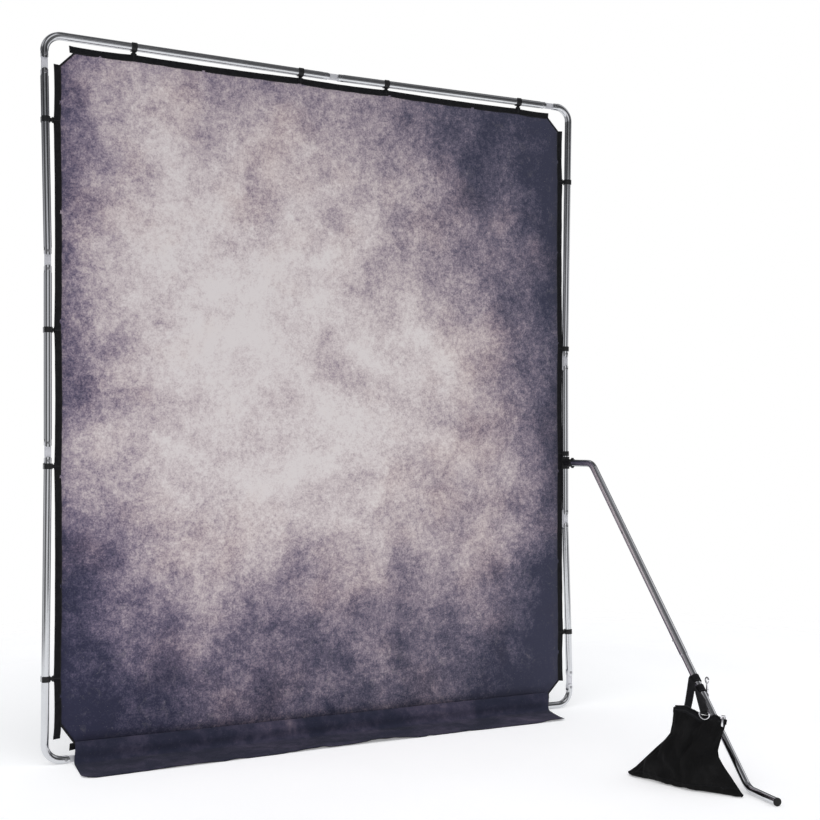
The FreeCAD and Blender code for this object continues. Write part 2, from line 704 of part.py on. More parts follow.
def d_ring(bar_centre):
    """A bent wire: a straight bar along the bag and a half circle that hangs from it."""
    ends = [bar_centre + BAG_ALONG * (side * RING_HALF_WIDTH) for side in (-1, 1)]
    wire = rod(RING_WIRE_R, ends[0], BAG_ALONG, 2 * RING_HALF_WIDTH)
    section = Part.Face(Part.Wire(Part.makeCircle(RING_WIRE_R, ends[0], Z)))
    wire = wire.fuse(section.revolve(bar_centre, BAG_ALONG.cross(Z), 180))
    for end in ends:
        wire = wire.fuse(Part.makeSphere(RING_WIRE_R, end))
    return wire.removeSplitter()


def zip_slider(foot):
    """A block that straddles the zip's upright teeth."""
    half = SLIDER_SIZE * 0.5
    slot = Vector(half.x + 1, ZIP_THICKNESS / 2 + SLIDER_GAP, ZIP_HEIGHT + SLIDER_GAP)
    slider = block(Vector(-half.x, -half.y, SLIDER_GAP), Vector(half.x, half.y, SLIDER_SIZE.z))
    slider = slider.cut(block(Vector(-slot.x, -slot.y, -1), slot))
    slider.rotate(Vector(), Z, BAG_YAW - 90.0)
    slider.translate(foot)
    return slider


def hook_point(angle):
    """The point of the hook's bend at this angle, counted from +Y towards +Z."""
    turn = math.radians(angle)
    return Vector(HOOK_X, HOOK_Y + HOOK_BEND_R * math.cos(turn), HOOK_Z + HOOK_BEND_R * math.sin(turn))


def on_hook_axis(height):
    return Vector(HOOK_X, HOOK_Y, height)


def snap_eye():
    """The swivel's eye, with a headed post that turns in the hook's barrel."""
    foot = EYE_Z + EYE_R
    top = BARREL_LOW + POST_LENGTH
    eye = Part.makeTorus(EYE_R, EYE_WIRE_R, on_hook_axis(EYE_Z), X)
    post = rod(POST_R, on_hook_axis(foot), Z, top - foot)
    head = rod(POST_HEAD_R, on_hook_axis(top), -Z, POST_HEAD_HEIGHT)
    return eye.fuse([post, head]).removeSplitter()


def snap_hook():
    """Barrel, stem and open bend of the hook."""
    barrel = rod(BARREL_R, on_hook_axis(BARREL_LOW), Z, BARREL_HIGH - BARREL_LOW)
    rims = [e for e in barrel.Edges if e.Length > 2 * math.pi * BARREL_R - 0.1]
    barrel = barrel.makeChamfer(BARREL_CHAMFER, rims)
    bend_start = hook_point(-90)
    section = Part.Face(Part.Wire(Part.makeCircle(HOOK_WIRE_R, bend_start, Y)))
    bend = section.revolve(on_hook_axis(HOOK_Z), X, HOOK_END + 90)
    stem = rod(STEM_R, on_hook_axis(BARREL_HIGH - 1.0), Z, bend_start.z - BARREL_HIGH + 1.0)
    hook = barrel.fuse([stem, bend]).removeSplitter()
    hook = hook.cut(rod(POST_R + PIN_CLEARANCE, on_hook_axis(BARREL_LOW - 1), Z, POST_LENGTH))
    room_top = on_hook_axis(BARREL_LOW + POST_LENGTH + POST_HEAD_GAP)
    return hook.cut(rod(POST_HEAD_R + POST_HEAD_GAP, room_top, -Z, POST_HEAD_HEIGHT + 2 * POST_HEAD_GAP))


def snap_gate():
    start = hook_point(GATE_FROM)
    end = hook_point(GATE_TO)
    return rod(GATE_R, start, (end - start).normalize(), (end - start).Length)


def hook_tab():
    """A short piece of webbing from the turn round the leg to the swivel's eye."""
    top = Vector(STRAP_BORE_R + STRAP_THICKNESS + HOOK_TAB_OFF, HOOK_Y, EYE_Z + EYE_R)
    return plank(top, on_hook_axis(EYE_Z), Y, EYE_R, STRAP_THICKNESS)


def bag_nodes():
    top = BAG_SECTIONS[-1][0]
    shift = BAG_SECTIONS[-1][3]
    half_neck = BAG_SECTIONS[-1][2]
    shell = bag_solid(0.0, top).cut(bag_solid(BAG_CLOTH, top - BAG_CLOTH))
    filling = bag_solid(BAG_CLOTH + FILLING_GAP, FILLING_TOP)
    near_face = shift - half_neck
    ring_bar = bag_point(RING_ALONG, near_face - RING_OFF, top + RING_ABOVE)
    zip_foot = bag_point(-ZIP_ALONG, shift, top + ZIP_HEIGHT / 2)
    zip_head = bag_point(ZIP_ALONG, shift, top + ZIP_HEIGHT / 2)
    return {
        "bag_shell": shell,
        "bag_filling": filling,
        "strap_left": strap(-LOOP_SPACING / 2, bag_point(
            LEFT_STRAP_ALONG, shift + half_neck + LEFT_STRAP_OFF, top - LEFT_STRAP_BELOW)),
        "strap_right": strap(LOOP_SPACING / 2, ring_bar + Z * RIGHT_STRAP_GAP),
        "d_ring": d_ring(ring_bar),
        "bag_zip": plank(zip_foot, zip_head, Z, ZIP_HEIGHT, ZIP_THICKNESS),
        "zip_slider": zip_slider(bag_point(ZIP_ALONG - SLIDER_SIZE.x / 2, shift, top)),
        "snap_eye": snap_eye(),
        "snap_hook": snap_hook(),
        "snap_gate": snap_gate(),
        "hook_tab": hook_tab(),
    }


# ---------------------------------------------------------------- whole

def place_leg(shape, axis_x):
    moved = shape.copy()
    moved.rotate(Vector(), Z, LEG_YAW)
    moved.translate(X * axis_x)
    return moved


def whole():
    nodes = frame_nodes()
    nodes.update(cover_nodes())
    clamp_x = RIGHT_POLE[1][0].x
    for group in (leg_nodes(), bag_nodes()):
        for name, shape in group.items():
            nodes[name] = place_leg(shape, clamp_x)
    return {name: s if isinstance(s, Part.Shape) else Part.makeCompound(s) for name, s in nodes.items()}


os.makedirs("parts", exist_ok=True)
NODES = whole()
BOX = Part.makeCompound(list(NODES.values())).optimalBoundingBox(False)
ORIGIN = Vector(BOX.Center.x, BOX.Center.y, BOX.ZMin)
for node_name, node_shape in NODES.items():
    node_shape.translate(ORIGIN * -1)
    node_shape.exportStep("parts/" + node_name + ".step")
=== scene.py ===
import math

import bpy
from mathutils import Matrix, Vector, geometry, noise


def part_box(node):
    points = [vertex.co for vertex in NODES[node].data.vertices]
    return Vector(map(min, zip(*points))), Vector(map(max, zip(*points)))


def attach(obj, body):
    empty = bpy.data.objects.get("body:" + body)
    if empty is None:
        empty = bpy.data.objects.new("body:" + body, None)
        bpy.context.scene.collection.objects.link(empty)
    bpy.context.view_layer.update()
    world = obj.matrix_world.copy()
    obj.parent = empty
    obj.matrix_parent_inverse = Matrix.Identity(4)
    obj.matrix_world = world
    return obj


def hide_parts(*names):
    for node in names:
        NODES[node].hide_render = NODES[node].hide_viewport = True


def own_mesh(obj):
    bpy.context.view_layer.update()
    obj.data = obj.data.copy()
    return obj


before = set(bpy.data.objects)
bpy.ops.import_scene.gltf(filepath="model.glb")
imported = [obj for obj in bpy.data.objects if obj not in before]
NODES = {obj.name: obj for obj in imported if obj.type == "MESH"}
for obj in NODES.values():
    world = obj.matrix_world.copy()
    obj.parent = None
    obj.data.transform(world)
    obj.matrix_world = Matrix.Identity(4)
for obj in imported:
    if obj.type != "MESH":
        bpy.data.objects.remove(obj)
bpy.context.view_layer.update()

# The looks of a folding studio background: tubes, printed cover with its elastic edge, floor flap,
# clamped support leg and weight bag. Metres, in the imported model's frame.


def box_of(node):
    low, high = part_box(node)
    return Vector(low), Vector(high)


def middle_of(node):
    low, high = box_of(node)
    return (low + high) / 2


# ---- sizes

PANEL_Y = middle_of("right_middle_tube").y
COVER_LEFT = box_of("edge_band_left")[0].x
COVER_RIGHT = box_of("edge_band_right")[1].x
COVER_LOW = box_of("edge_band_bottom")[0].z
COVER_HIGH = box_of("edge_band_top")[1].z
CENTRE_X = (COVER_LEFT + COVER_RIGHT) / 2

BAND_WIDTH = 0.022
BAND_THICKNESS = 0.0024
BAND_TUCK = 0.005          # how far the cloth reaches under the bands
CORNER_CUT = 0.066         # of the cover's corners, along each side
LOW_LEFT_CUT = 0.084       # of the lower left corner, along the left side
CORNER_SLANT = 0.002       # of the bands' ends
SCALLOP = 0.0036           # how far the edge is drawn in between two clips
SCALLOP_SHARPNESS = 0.6
SCALLOP_END = 0.05         # from the side's end to where its first scallop starts

LEG_YAW = math.radians(-10.6)
LEG_AXIS = middle_of("right_middle_tube")
BAG_BASE = Vector((-0.170, -1.185, 0.0))
BAG_YAW = math.radians(29.0)
BAG_LEAN = 0.029
BAG_LEAN_TOP = 0.125
# The bag's level sections: height, half length, half thickness, shift towards the leg, shift along it
BAG_SECTIONS = (
    (0.000, 0.190, 0.024, 0.036, 0.000),
    (0.008, 0.198, 0.035, 0.036, 0.000),
    (0.028, 0.175, 0.042, 0.039, 0.003),
    (0.055, 0.148, 0.043, 0.043, 0.004),
    (0.078, 0.125, 0.041, 0.048, 0.003),
    (0.097, 0.107, 0.036, 0.054, 0.003),
    (0.115, 0.094, 0.031, 0.060, 0.009),
    (0.137, 0.087, 0.024, 0.066, 0.019),
    (0.175, 0.088, 0.016, 0.073, 0.026),
    (0.203, 0.090, 0.008, 0.078, 0.029),
)

X = Vector((1, 0, 0))
Y = Vector((0, 1, 0))
Z = Vector((0, 0, 1))


def leg_point(x, y, z):
    """A point given in the leg's frame, whose -Y is the way the leg points."""
    turned = Matrix.Rotation(LEG_YAW, 3, "Z") @ Vector((x, y, z))
    return Vector((LEG_AXIS.x + turned.x, LEG_AXIS.y + turned.y, turned.z))


def leg_way(x, y, z):
    return Matrix.Rotation(LEG_YAW, 3, "Z") @ Vector((x, y, z))


BAG_ALONG = leg_way(math.sin(BAG_YAW), -math.cos(BAG_YAW), 0)
BAG_TO_LEG = leg_way(math.cos(BAG_YAW), math.sin(BAG_YAW), 0)
BAG_FOOT = leg_point(*BAG_BASE)


def bag_place(along, to_leg, height):
    return BAG_FOOT + BAG_ALONG * along + BAG_TO_LEG * to_leg + Z * height


def bag_point(along, to_leg, height):
    """A point on the leaning bag: along is counted from the middle of the neck at the neck's height."""
    return bag_place(along + BAG_LEAN * min(height / BAG_LEAN_TOP, 1.0), to_leg, height)


# ---- materials

class Nodes:

    def __init__(self, tree):
        self.nodes = tree.nodes
        self.links = tree.links

    def add(self, kind, inputs=(), **settings):
        node = self.nodes.new(kind)
        for name, value in settings.items():
            setattr(node, name, value)
        for name, value in dict(inputs).items():
            self.set(node.inputs[name], value)
        return node

    def set(self, socket, value):
        if isinstance(value, bpy.types.NodeSocket):
            self.links.new(value, socket)
        else:
            socket.default_value = value

    def math(self, operation, a, b=0.0, clamp=False):
        return self.add("ShaderNodeMath", {0: a, 1: b}, operation=operation, use_clamp=clamp).outputs[0]

    def times(self, a, b):
        return self.math("MULTIPLY", a, b)

    def plus(self, a, b):
        return self.math("ADD", a, b)

    def spread(self, value, low, high, to_low=0.0, to_high=1.0):
        node = self.add("ShaderNodeMapRange", {
            "Value": value, "From Min": low, "From Max": high, "To Min": to_low, "To Max": to_high})
        return node.outputs["Result"]

    def ramp(self, value, stops):
        node = self.add("ShaderNodeValToRGB", {"Fac": value})
        band = node.color_ramp
        while len(band.elements) < len(stops):
            band.elements.new(0.5)
        for element, (place, colour) in zip(band.elements, stops):
            element.position = place
            element.color = (*colour, 1)
        return node.outputs["Color"]

    def mix(self, share, a, b, blend="MIX"):
        node = self.add("ShaderNodeMix", data_type="RGBA", blend_type=blend)
        for name, value in (("Factor", share), ("A", a), ("B", b)):
            socket = [s for s in node.inputs if s.name == name and s.enabled][0]
            self.set(socket, (*value, 1) if isinstance(value, tuple) else value)
        return [s for s in node.outputs if s.enabled][0]


class Look(Nodes):
    """One node material. Coordinates are the piece's own, in metres."""

    def __init__(self, name, colour, roughness, metallic=0.0, **sockets):
        self.material = bpy.data.materials.new(name)
        self.material.use_nodes = True
        self.material.diffuse_color = (*colour, 1)
        super().__init__(self.material.node_tree)
        self.shader = self.nodes["Principled BSDF"]
        values = {"Base Color": (*colour, 1), "Roughness": roughness, "Metallic": metallic}
        values.update({socket.replace("_", " "): value for socket, value in sockets.items()})
        for socket, value in values.items():
            self.shader.inputs[socket].default_value = value
        self.height = None
        self.place = self.add("ShaderNodeTexCoord").outputs["Object"]

    def scaled(self, scale):
        return self.add("ShaderNodeMapping", {"Vector": self.place, "Scale": scale}).outputs["Vector"]

    def noise(self, scale, detail=4.0, roughness=0.55, vector=None, distortion=0.0):
        node = self.add("ShaderNodeTexNoise", {
            "Vector": vector or self.place, "Scale": scale, "Detail": detail,
            "Roughness": roughness, "Distortion": distortion})
        return node.outputs["Fac"]

    def colour(self, socket):
        self.links.new(socket, self.shader.inputs["Base Color"])

    def roughness(self, socket):
        self.links.new(socket, self.shader.inputs["Roughness"])

    def bump(self, height, distance, strength=1.0):
        inputs = {"Height": height, "Distance": distance, "Strength": strength}
        if self.height:
            inputs["Normal"] = self.height
        self.height = self.add("ShaderNodeBump", inputs).outputs["Normal"]
        self.links.new(self.height, self.shader.inputs["Normal"])


def linear(r, g, b):
    """A display colour of 0 to 255 as a scene colour."""
    return tuple(c / 255 / 12.92 if c <= 10 else ((c / 255 + 0.055) / 1.055) ** 2.4 for c in (r, g, b))


def shades(colour, factor, lift=0.0):
    return tuple(c * factor + lift for c in colour)


def metal(name, colour, roughness, along, streak=420.0, metallic=1.0):
    """Drawn metal: fine lines along one direction, soft blotches, smears and handling marks."""
    look = Look(name, colour, roughness, metallic)
    scale = tuple(streak * (1 - abs(c)) + 3.0 * abs(c) for c in along)
    lines = look.noise(1.0, 3.0, 0.6, look.scaled(scale))
    blotch = look.noise(7.0, 5.0, 0.6)
    smear = look.spread(look.noise(26.0, 6.0, 0.7), 0.52, 0.68)
    marks = look.spread(look.noise(190.0, 2.0, 0.5), 0.66, 0.74)
    shade = look.plus(look.times(lines, 0.4), look.times(blotch, 0.6))
    look.colour(look.ramp(shade, ((0.3, shades(colour, 0.84)), (0.52, colour),
                                  (0.75, tuple(min(1, c * 1.08) for c in colour)))))
    rough = look.spread(shade, 0.3, 0.7, roughness * 0.7, roughness * 1.4)
    rough = look.plus(rough, look.times(smear, roughness * 0.6))
    look.roughness(look.plus(rough, look.times(marks, 0.10)))
    look.bump(lines, 0.00003, 0.25)
    look.bump(marks, 0.00003, 0.25)
    return look.material


def plastic(name, colour, roughness, grain=1400.0):
    """Moulded plastic: fine grain, a cloudy sheen and a few pale scuffs."""
    look = Look(name, colour, roughness, Specular_IOR_Level=0.3)
    cloud = look.noise(35.0, 4.0)
    scuff = look.spread(look.noise(220.0, 6.0, 0.7, look.scaled((1.0, 1.0, 0.35))), 0.6, 0.74)
    base = look.ramp(cloud, ((0.35, shades(colour, 0.8)), (0.65, shades(colour, 1.15))))
    look.colour(look.mix(look.times(scuff, 0.35), base, shades(colour, 1.6, 0.02)))
    look.roughness(look.spread(cloud, 0.3, 0.7, roughness * 0.85, roughness * 1.2))
    look.bump(look.noise(grain, 2.0), 0.00012, 0.5)
    return look.material


def woven(look, pitch):
    """Height of a plain weave on an upright cloth, with this thread pitch in metres."""
    size = 1.0 / pitch
    coords = look.add("ShaderNodeSeparateXYZ", {"Vector": look.scaled((size, size, size))})
    across = look.plus(coords.outputs["X"], coords.outputs["Y"])
    over = look.math("SINE", look.times(across, 2 * math.pi))
    under = look.math("SINE", look.times(coords.outputs["Z"], 2 * math.pi))
    return look.times(over, under)


def cloth(name, colour, roughness, pitch, sheen):
    """Woven cloth: threads with painted highlights on their raised crowns, worn patches, dust and lint."""
    look = Look(name, colour, roughness, Sheen_Weight=sheen, Sheen_Roughness=0.6, Specular_IOR_Level=0.15)
    worn = look.noise(14.0, 6.0, 0.62)
    lint = look.spread(look.noise(900.0, 2.0, 0.5, look.scaled((1.0, 1.0, 0.25))), 0.68, 0.78)
    weave = woven(look, pitch)
    base = look.ramp(worn, ((0.3, shades(colour, 0.65)), (0.5, colour), (0.75, shades(colour, 1.7, 0.004))))
    # Painted highlight: the weave's raised threads are drawn lighter than its hollows
    base = look.mix(look.spread(weave, -1.0, 1.0, 0.0, 0.25), base, shades(colour, 1.8))
    look.colour(look.mix(look.times(lint, 0.0875), base, (0.35, 0.34, 0.33)))
    look.bump(weave, 0.00016, 0.6)
    look.bump(worn, 0.0012, 0.25)
    return look.material


THREAD = (0.05, 0.05, 0.052)
THREAD_HALF_WIDTH = 0.0005
STITCH_PITCH = 0.0038
STITCH_SHARE = 0.68        # of the pitch that shows as thread
CORD_PITCH = 0.0016        # of the cords along a tape


def webbing(name, colour, rib, stitch_rows):
    """Ribbed tape: ribs across its length with painted highlights on their crowns, and rows of stitches. U is
    metres along, V metres across.
    """
    look = Look(name, colour, 0.85, Sheen_Weight=0.02, Sheen_Roughness=0.5, Specular_IOR_Level=0.10)
    uv = look.add("ShaderNodeTexCoord").outputs["UV"]
    parts = look.add("ShaderNodeSeparateXYZ", {"Vector": uv})
    along, across = parts.outputs["X"], parts.outputs["Y"]
    ribs = look.math("SINE", look.times(along, 2 * math.pi / rib))
    cords = look.math("SINE", look.times(across, 2 * math.pi / CORD_PITCH))
    worn = look.noise(60.0, 5.0, 0.6)
    base = look.ramp(worn, ((0.3, shades(colour, 0.7)), (0.7, shades(colour, 1.5, 0.002))))
    # Painted highlight: the ribs' crowns are drawn lighter than the troughs between them
    base = look.mix(look.spread(ribs, -1.0, 1.0, 0.0, 0.3), base, shades(colour, 2.2))
    height = look.plus(ribs, look.times(cords, 0.5))
    for row in stitch_rows:
        off = look.math("ABSOLUTE", look.math("SUBTRACT", across, row))
        near = look.math("LESS_THAN", off, THREAD_HALF_WIDTH)
        beat = look.math("FRACT", look.math("DIVIDE", along, STITCH_PITCH))
        stitch = look.times(near, look.math("LESS_THAN", beat, STITCH_SHARE))
        base = look.mix(stitch, base, THREAD)
        height = look.plus(height, look.times(stitch, 3.0))
    look.colour(base)
    look.bump(height, 0.00018, 0.7)
    return look.material


WEAVE_PITCH = 0.0011       # of the cover and the flap

# The print's colours, from the middle of its pale patch out to the edges
PRINT_RAMP = (
    (0.00, linear(216, 209, 208)), (0.14, linear(206, 196, 196)), (0.28, linear(188, 176, 178)),
    (0.42, linear(162, 150, 157)), (0.56, linear(132, 121, 134)), (0.68, linear(104, 97, 113)),
    (0.80, linear(82, 79, 96)), (0.90, linear(67, 66, 84)), (1.00, linear(54, 55, 73)))


PALE_X = -0.38
PALE_Z = 1.33
PALE_TOP_Z = 1.36
PRINT_SLANT = 0.22
# How the print darkens left, right, up and down from there: axis, centre, scale, power
PRINT_FALL = (("X", PALE_X, 0.73, 2.5), ("X", PALE_X, -1.14, 2.1),
              ("Z", PALE_TOP_Z, 0.64, 2.6), ("Z", PALE_Z, -0.69, 1.83))


def fall_off(look, place, centre, scale, power):
    """Rises from zero at the centre on one side, and stays zero on the other."""
    away = look.times(look.math("SUBTRACT", place, centre), scale)
    return look.math("POWER", look.math("MAXIMUM", away, 0.0), power)


def cover_print(name):
    """A mottled, distressed print: cream in the middle, through mauve grey, to slate blue at the edges."""
    look = Look(name, linear(150, 142, 152), 0.9, Sheen_Weight=0.03, Sheen_Roughness=0.7,
                Specular_IOR_Level=0.12)
    place = look.add("ShaderNodeSeparateXYZ", {"Vector": look.place}).outputs
    slant = look.times(look.math("SUBTRACT", place["X"], PALE_X), look.math("SUBTRACT", place["Z"], PALE_Z))
    reach = look.times(slant, PRINT_SLANT)
    for axis, centre, scale, power in PRINT_FALL:
        reach = look.plus(reach, fall_off(look, place[axis], centre, scale, power))
    cloud = look.noise(2.3, 5.0, 0.55, distortion=0.3)
    patch = look.noise(7.5, 6.0, 0.62, distortion=0.4)
    stipple = look.noise(62.0, 5.0, 0.75)
    fine = look.noise(170.0, 3.0, 0.7)
    level = look.plus(reach, look.spread(cloud, 0.25, 0.75, -0.20, 0.30))
    for source, size in ((patch, 0.15), (stipple, 0.17), (fine, 0.13)):
        level = look.plus(level, look.spread(source, 0.3, 0.7, -size, size))
    level = look.math("MULTIPLY", level, 1.0, clamp=True)
    base = look.ramp(level, PRINT_RAMP)
    violet = look.times(look.spread(place["X"], 0.3, -0.9, 0.0, 0.36), look.spread(level, 0.2, 0.7, 0.2, 1.0))
    base = look.mix(violet, base, linear(122, 116, 158), "SOFT_LIGHT")
    warm = look.spread(look.noise(3.4, 7.0, 0.6), 0.5, 0.75)
    base = look.mix(look.times(warm, 0.35), base, linear(178, 156, 138), "SOFT_LIGHT")
    scrape = look.spread(look.noise(21.0, 9.0, 0.8, distortion=0.8), 0.56, 0.70)
    bright = look.spread(level, 0.95, 0.35, 0.08, 0.30)
    base = look.mix(look.times(scrape, bright), base, linear(214, 202, 198))
    pit = look.spread(look.noise(210.0, 3.0, 0.7), 0.64, 0.72)
    base = look.mix(look.times(pit, 0.28), base, linear(76, 68, 84))
    dust = look.spread(look.noise(330.0, 3.0, 0.6), 0.66, 0.73)
    look.colour(look.mix(look.times(dust, 0.26), base, linear(226, 218, 212)))
    look.bump(woven(look, WEAVE_PITCH), 0.0001, 0.5)
    look.bump(look.noise(45.0, 4.0), 0.0004, 0.15)
    return look.material


def cover_back(name):
    """The unprinted back: pale cloth with the print faintly showing through."""
    look = Look(name, (0.50, 0.49, 0.50), 0.9, Sheen_Weight=0.05, Specular_IOR_Level=0.15)
    ghost = look.noise(2.1, 6.0, 0.58, distortion=0.35)
    fine = look.noise(40.0, 6.0, 0.6)
    shade = look.plus(look.times(ghost, 0.7), look.times(fine, 0.3))
    look.colour(look.ramp(shade, ((0.3, (0.36, 0.35, 0.38)), (0.7, (0.60, 0.59, 0.58)))))
    look.bump(woven(look, WEAVE_PITCH), 0.00012, 0.6)
    return look.material


def flap_cloth(name):
    """The cover's print at its darkest, on the flap."""
    look = Look(name, linear(58, 56, 72), 0.9, Sheen_Weight=0.03, Sheen_Roughness=0.7,
                Specular_IOR_Level=0.12)
    cloud = look.noise(4.2, 8.0, 0.62, distortion=0.5)
    crackle = look.noise(30.0, 10.0, 0.78)
    shade = look.plus(look.times(cloud, 0.62), look.times(crackle, 0.38))
    base = look.ramp(shade, ((0.36, linear(31, 34, 50)), (0.48, linear(42, 43, 60)),
                             (0.58, linear(66, 62, 80)), (0.70, linear(112, 100, 112))))
    speck = look.spread(look.noise(300.0, 4.0, 0.7), 0.62, 0.72)
    look.colour(look.mix(look.times(speck, 0.3), base, linear(150, 140, 142)))
    look.bump(woven(look, WEAVE_PITCH), 0.0001, 0.5)
    return look.material


TUBE_SILVER = (0.66, 0.67, 0.69)
POLE_METAL = metal("pole_tube", TUBE_SILVER, 0.11, Z)
RAIL_METAL = metal("rail_tube", TUBE_SILVER, 0.11, X)
LEG_METAL = metal("leg_tube", TUBE_SILVER, 0.10, leg_way(0, -0.75, -0.65), 240.0)
LINK_METAL = metal("link_alloy", (0.74, 0.74, 0.78), 0.42, Y, 600.0, 0.55)
PIN_METAL = metal("pin_steel", (0.44, 0.44, 0.46), 0.26, Y, 900.0)
CHROME = metal("fitting_chrome", (0.78, 0.78, 0.80), 0.09, Z, 700.0)
CLIP_PLASTIC = plastic("clip_plastic", (0.012, 0.012, 0.013), 0.42)
CLAMP_PLASTIC = plastic("clamp_plastic", (0.013, 0.013, 0.014), 0.46, 1100.0)
CAP_RUBBER = plastic("cap_rubber", (0.016, 0.016, 0.016), 0.78, 700.0)
PRINT = cover_print("cover_print")
BACK = cover_back("cover_back")
FLAP = flap_cloth("flap_cloth")
ELASTIC = webbing("edge_elastic", (0.007, 0.007, 0.008), 0.0021, (-0.0095, 0.0095))
HEM = webbing("corner_hem", (0.007, 0.007, 0.008), 0.0016, (0.0,))
TAPE = webbing("bag_webbing", (0.008, 0.008, 0.009), 0.0017, (-0.0100, 0.0100))
BAG_CLOTH = cloth("bag_cloth", (0.0050, 0.0049, 0.0052), 0.88, 0.0010, 0.010)
ZIP_TEETH = plastic("zip_teeth", (0.012, 0.012, 0.013), 0.3, 900.0)


def paint(node, material):
    for place in NODES[node].material_slots:
        place.material = material


# What each CAD node is made of, by the start and end of its name; the first match counts
NODE_LOOKS = (
    ("leg_", "_tube", LEG_METAL), ("top_", "_tube", RAIL_METAL), ("bottom_", "_tube", RAIL_METAL),
    ("", "_tube", POLE_METAL), ("link_", "", LINK_METAL), ("", "_links", LINK_METAL),
    ("pins_", "", PIN_METAL), ("", "_pins", PIN_METAL), ("clamp_bolt", "", PIN_METAL),
    ("leg_button", "", PIN_METAL), ("clips_", "", CLIP_PLASTIC), ("clamp_", "", CLAMP_PLASTIC),
    ("lock_collar", "", CLAMP_PLASTIC), ("leg_end_cap", "", CAP_RUBBER), ("d_ring", "", CHROME),
    ("snap_", "", CHROME), ("zip_slider", "", CHROME))
for node_name in NODES:
    for start, end, material in NODE_LOOKS:
        if node_name.startswith(start) and node_name.endswith(end):
            paint(node_name, material)
            break


# ---- mesh helpers

def make_object(name, vertices, faces, materials, smooth=True, uvs=None):
    mesh = bpy.data.meshes.new(name)
    mesh.from_pydata([tuple(v) for v in vertices], [], faces)
    if uvs:
        layer = mesh.uv_layers.new(name="UVMap")
        for loop in mesh.loops:
            layer.data[loop.index].uv = uvs[loop.vertex_index]
    for material in materials:
        mesh.materials.append(material)
    mesh.polygons.foreach_set("use_smooth", [smooth] * len(mesh.polygons))
    mesh.update()
    piece = bpy.data.objects.new(name, mesh)
    bpy.context.collection.objects.link(piece)
    return piece


def quads(rows, ring, closed=False, flip=False, open_ring=False):
    """The faces between successive rings of points."""
    faces = []
    for i in range(rows if closed else rows - 1):
        here, there = i * ring, ((i + 1) % rows) * ring
        for k in range(ring - 1 if open_ring else ring):
            n = (k + 1) % ring
            ends = (there + k, here + n) if flip else (here + n, there + k)
            faces.append((here + k, ends[0], there + n, ends[1]))
    return faces


STRIP_ROUNDNESS = 0.45


def section(width, thickness):
    """A flat bar's outline with eased edges, as offsets across and out."""
    w = width / 2
    t = thickness / 2
    e = min(t, w) * STRIP_ROUNDNESS
    return [(-w, -t + e), (-w + e, -t), (w - e, -t), (w, -t + e),
            (w, t - e), (w - e, t), (-w + e, t), (-w, t - e)]


def strip(name, points, acrosses, width, thickness, material, closed=False):
    """A tape that follows points. Each across is its width's direction there."""
    count = len(points)
    profile = section(width, thickness)
    vertices, uvs = [], []
    length = 0.0
    for i, (point, across) in enumerate(zip(points, acrosses)):
        if i:
            length += (point - points[i - 1]).length
        after = points[(i + 1) % count] if closed or i < count - 1 else point
        before = points[i - 1] if closed or i else point
        along = (after - before).normalized()
        side = (across - along * across.dot(along)).normalized()
        out = along.cross(side)
        for a, o in profile:
            vertices.append(point + side * a + out * o)
            uvs.append((length, a))
    ring = len(profile)
    faces = quads(count, ring, closed)
    if not closed:
        faces.append(tuple(range(ring - 1, -1, -1)))
        faces.append(tuple(range((count - 1) * ring, count * ring)))
    return make_object(name, vertices, faces, [material], True, uvs)


def smooth_line(points, steps):
    """Points along a curve through the given ones."""
    found = []
    ends = [points[0] * 2 - points[1]] + list(points) + [points[-1] * 2 - points[-2]]
    for a, b, c, d in zip(ends, ends[1:], ends[2:], ends[3:]):
        for k in range(steps):
            t = k / steps
            found.append((b * 2 + (c - a) * t + (a * 2 - b * 5 + c * 4 - d) * t ** 2
                          + (b * 3 - a - c * 3 + d) * t ** 3) * 0.5)
    found.append(points[-1])
    return found


def round_cord(name, points, radius, material, closed=False):
    """A thin round piping along points."""
    curve = bpy.data.curves.new(name, "CURVE")
    curve.dimensions = "3D"
    curve.bevel_depth = radius
    curve.bevel_resolution = 3
    line = curve.splines.new("POLY")
    line.points.add(len(points) - 1)
    for place, point in zip(line.points, points):
        place.co = (*point, 1)
    line.use_cyclic_u = closed
    curve.materials.append(material)
    source = bpy.data.objects.new(name + "_line", curve)
    mesh = bpy.data.meshes.new_from_object(source)
    bpy.data.objects.remove(source)
    mesh.polygons.foreach_set("use_smooth", [True] * len(mesh.polygons))
    mesh.name = name
    piece = bpy.data.objects.new(name, mesh)
    bpy.context.collection.objects.link(piece)
    return piece


BASE_STITCH_PITCH = 0.0045
BASE_STITCH_LENGTH = 0.003
BASE_STITCH_R = 0.0004
# A stitch dips into the cloth at both ends: shares of its length along it, and of its radius out
STITCH_ARCH = ((-0.5, 0.0), (-0.3, 1.0), (0.3, 1.0), (0.5, 0.0))


def stitches(name, points, outs, material):
    """A row of thread stitches along points, lying on the side that outs point to."""
    vertices, faces = [], []
    travelled, due = 0.0, BASE_STITCH_PITCH / 2
    for a, b, out in zip(points, points[1:], outs):
        step = (b - a).length
        if step < 1e-7:
            continue
        way = (b - a) / step
        side = way.cross(out).normalized()
        while due <= travelled + step:
            centre = a + way * (due - travelled)
            base = len(vertices)
            for end, lift in STITCH_ARCH:
                for across in (-1, 1):
                    vertices.append(centre + way * (end * BASE_STITCH_LENGTH)
                                    + side * (across * BASE_STITCH_R) + out * (lift * BASE_STITCH_R))
            for k in range(3):
                p = base + 2 * k
                faces.append((p, p + 1, p + 3, p + 2))
            due += BASE_STITCH_PITCH
        travelled += step
    return make_object(name, vertices, faces, [material])


# ---- cover

LEFT_CLIPS = (0.270, 0.935, 1.362, 2.020)
RIGHT_CLIPS = (0.289, 0.968, 1.367, 2.004)
TOP_CLIPS = (-0.703, -0.122, 0.207, 0.760)

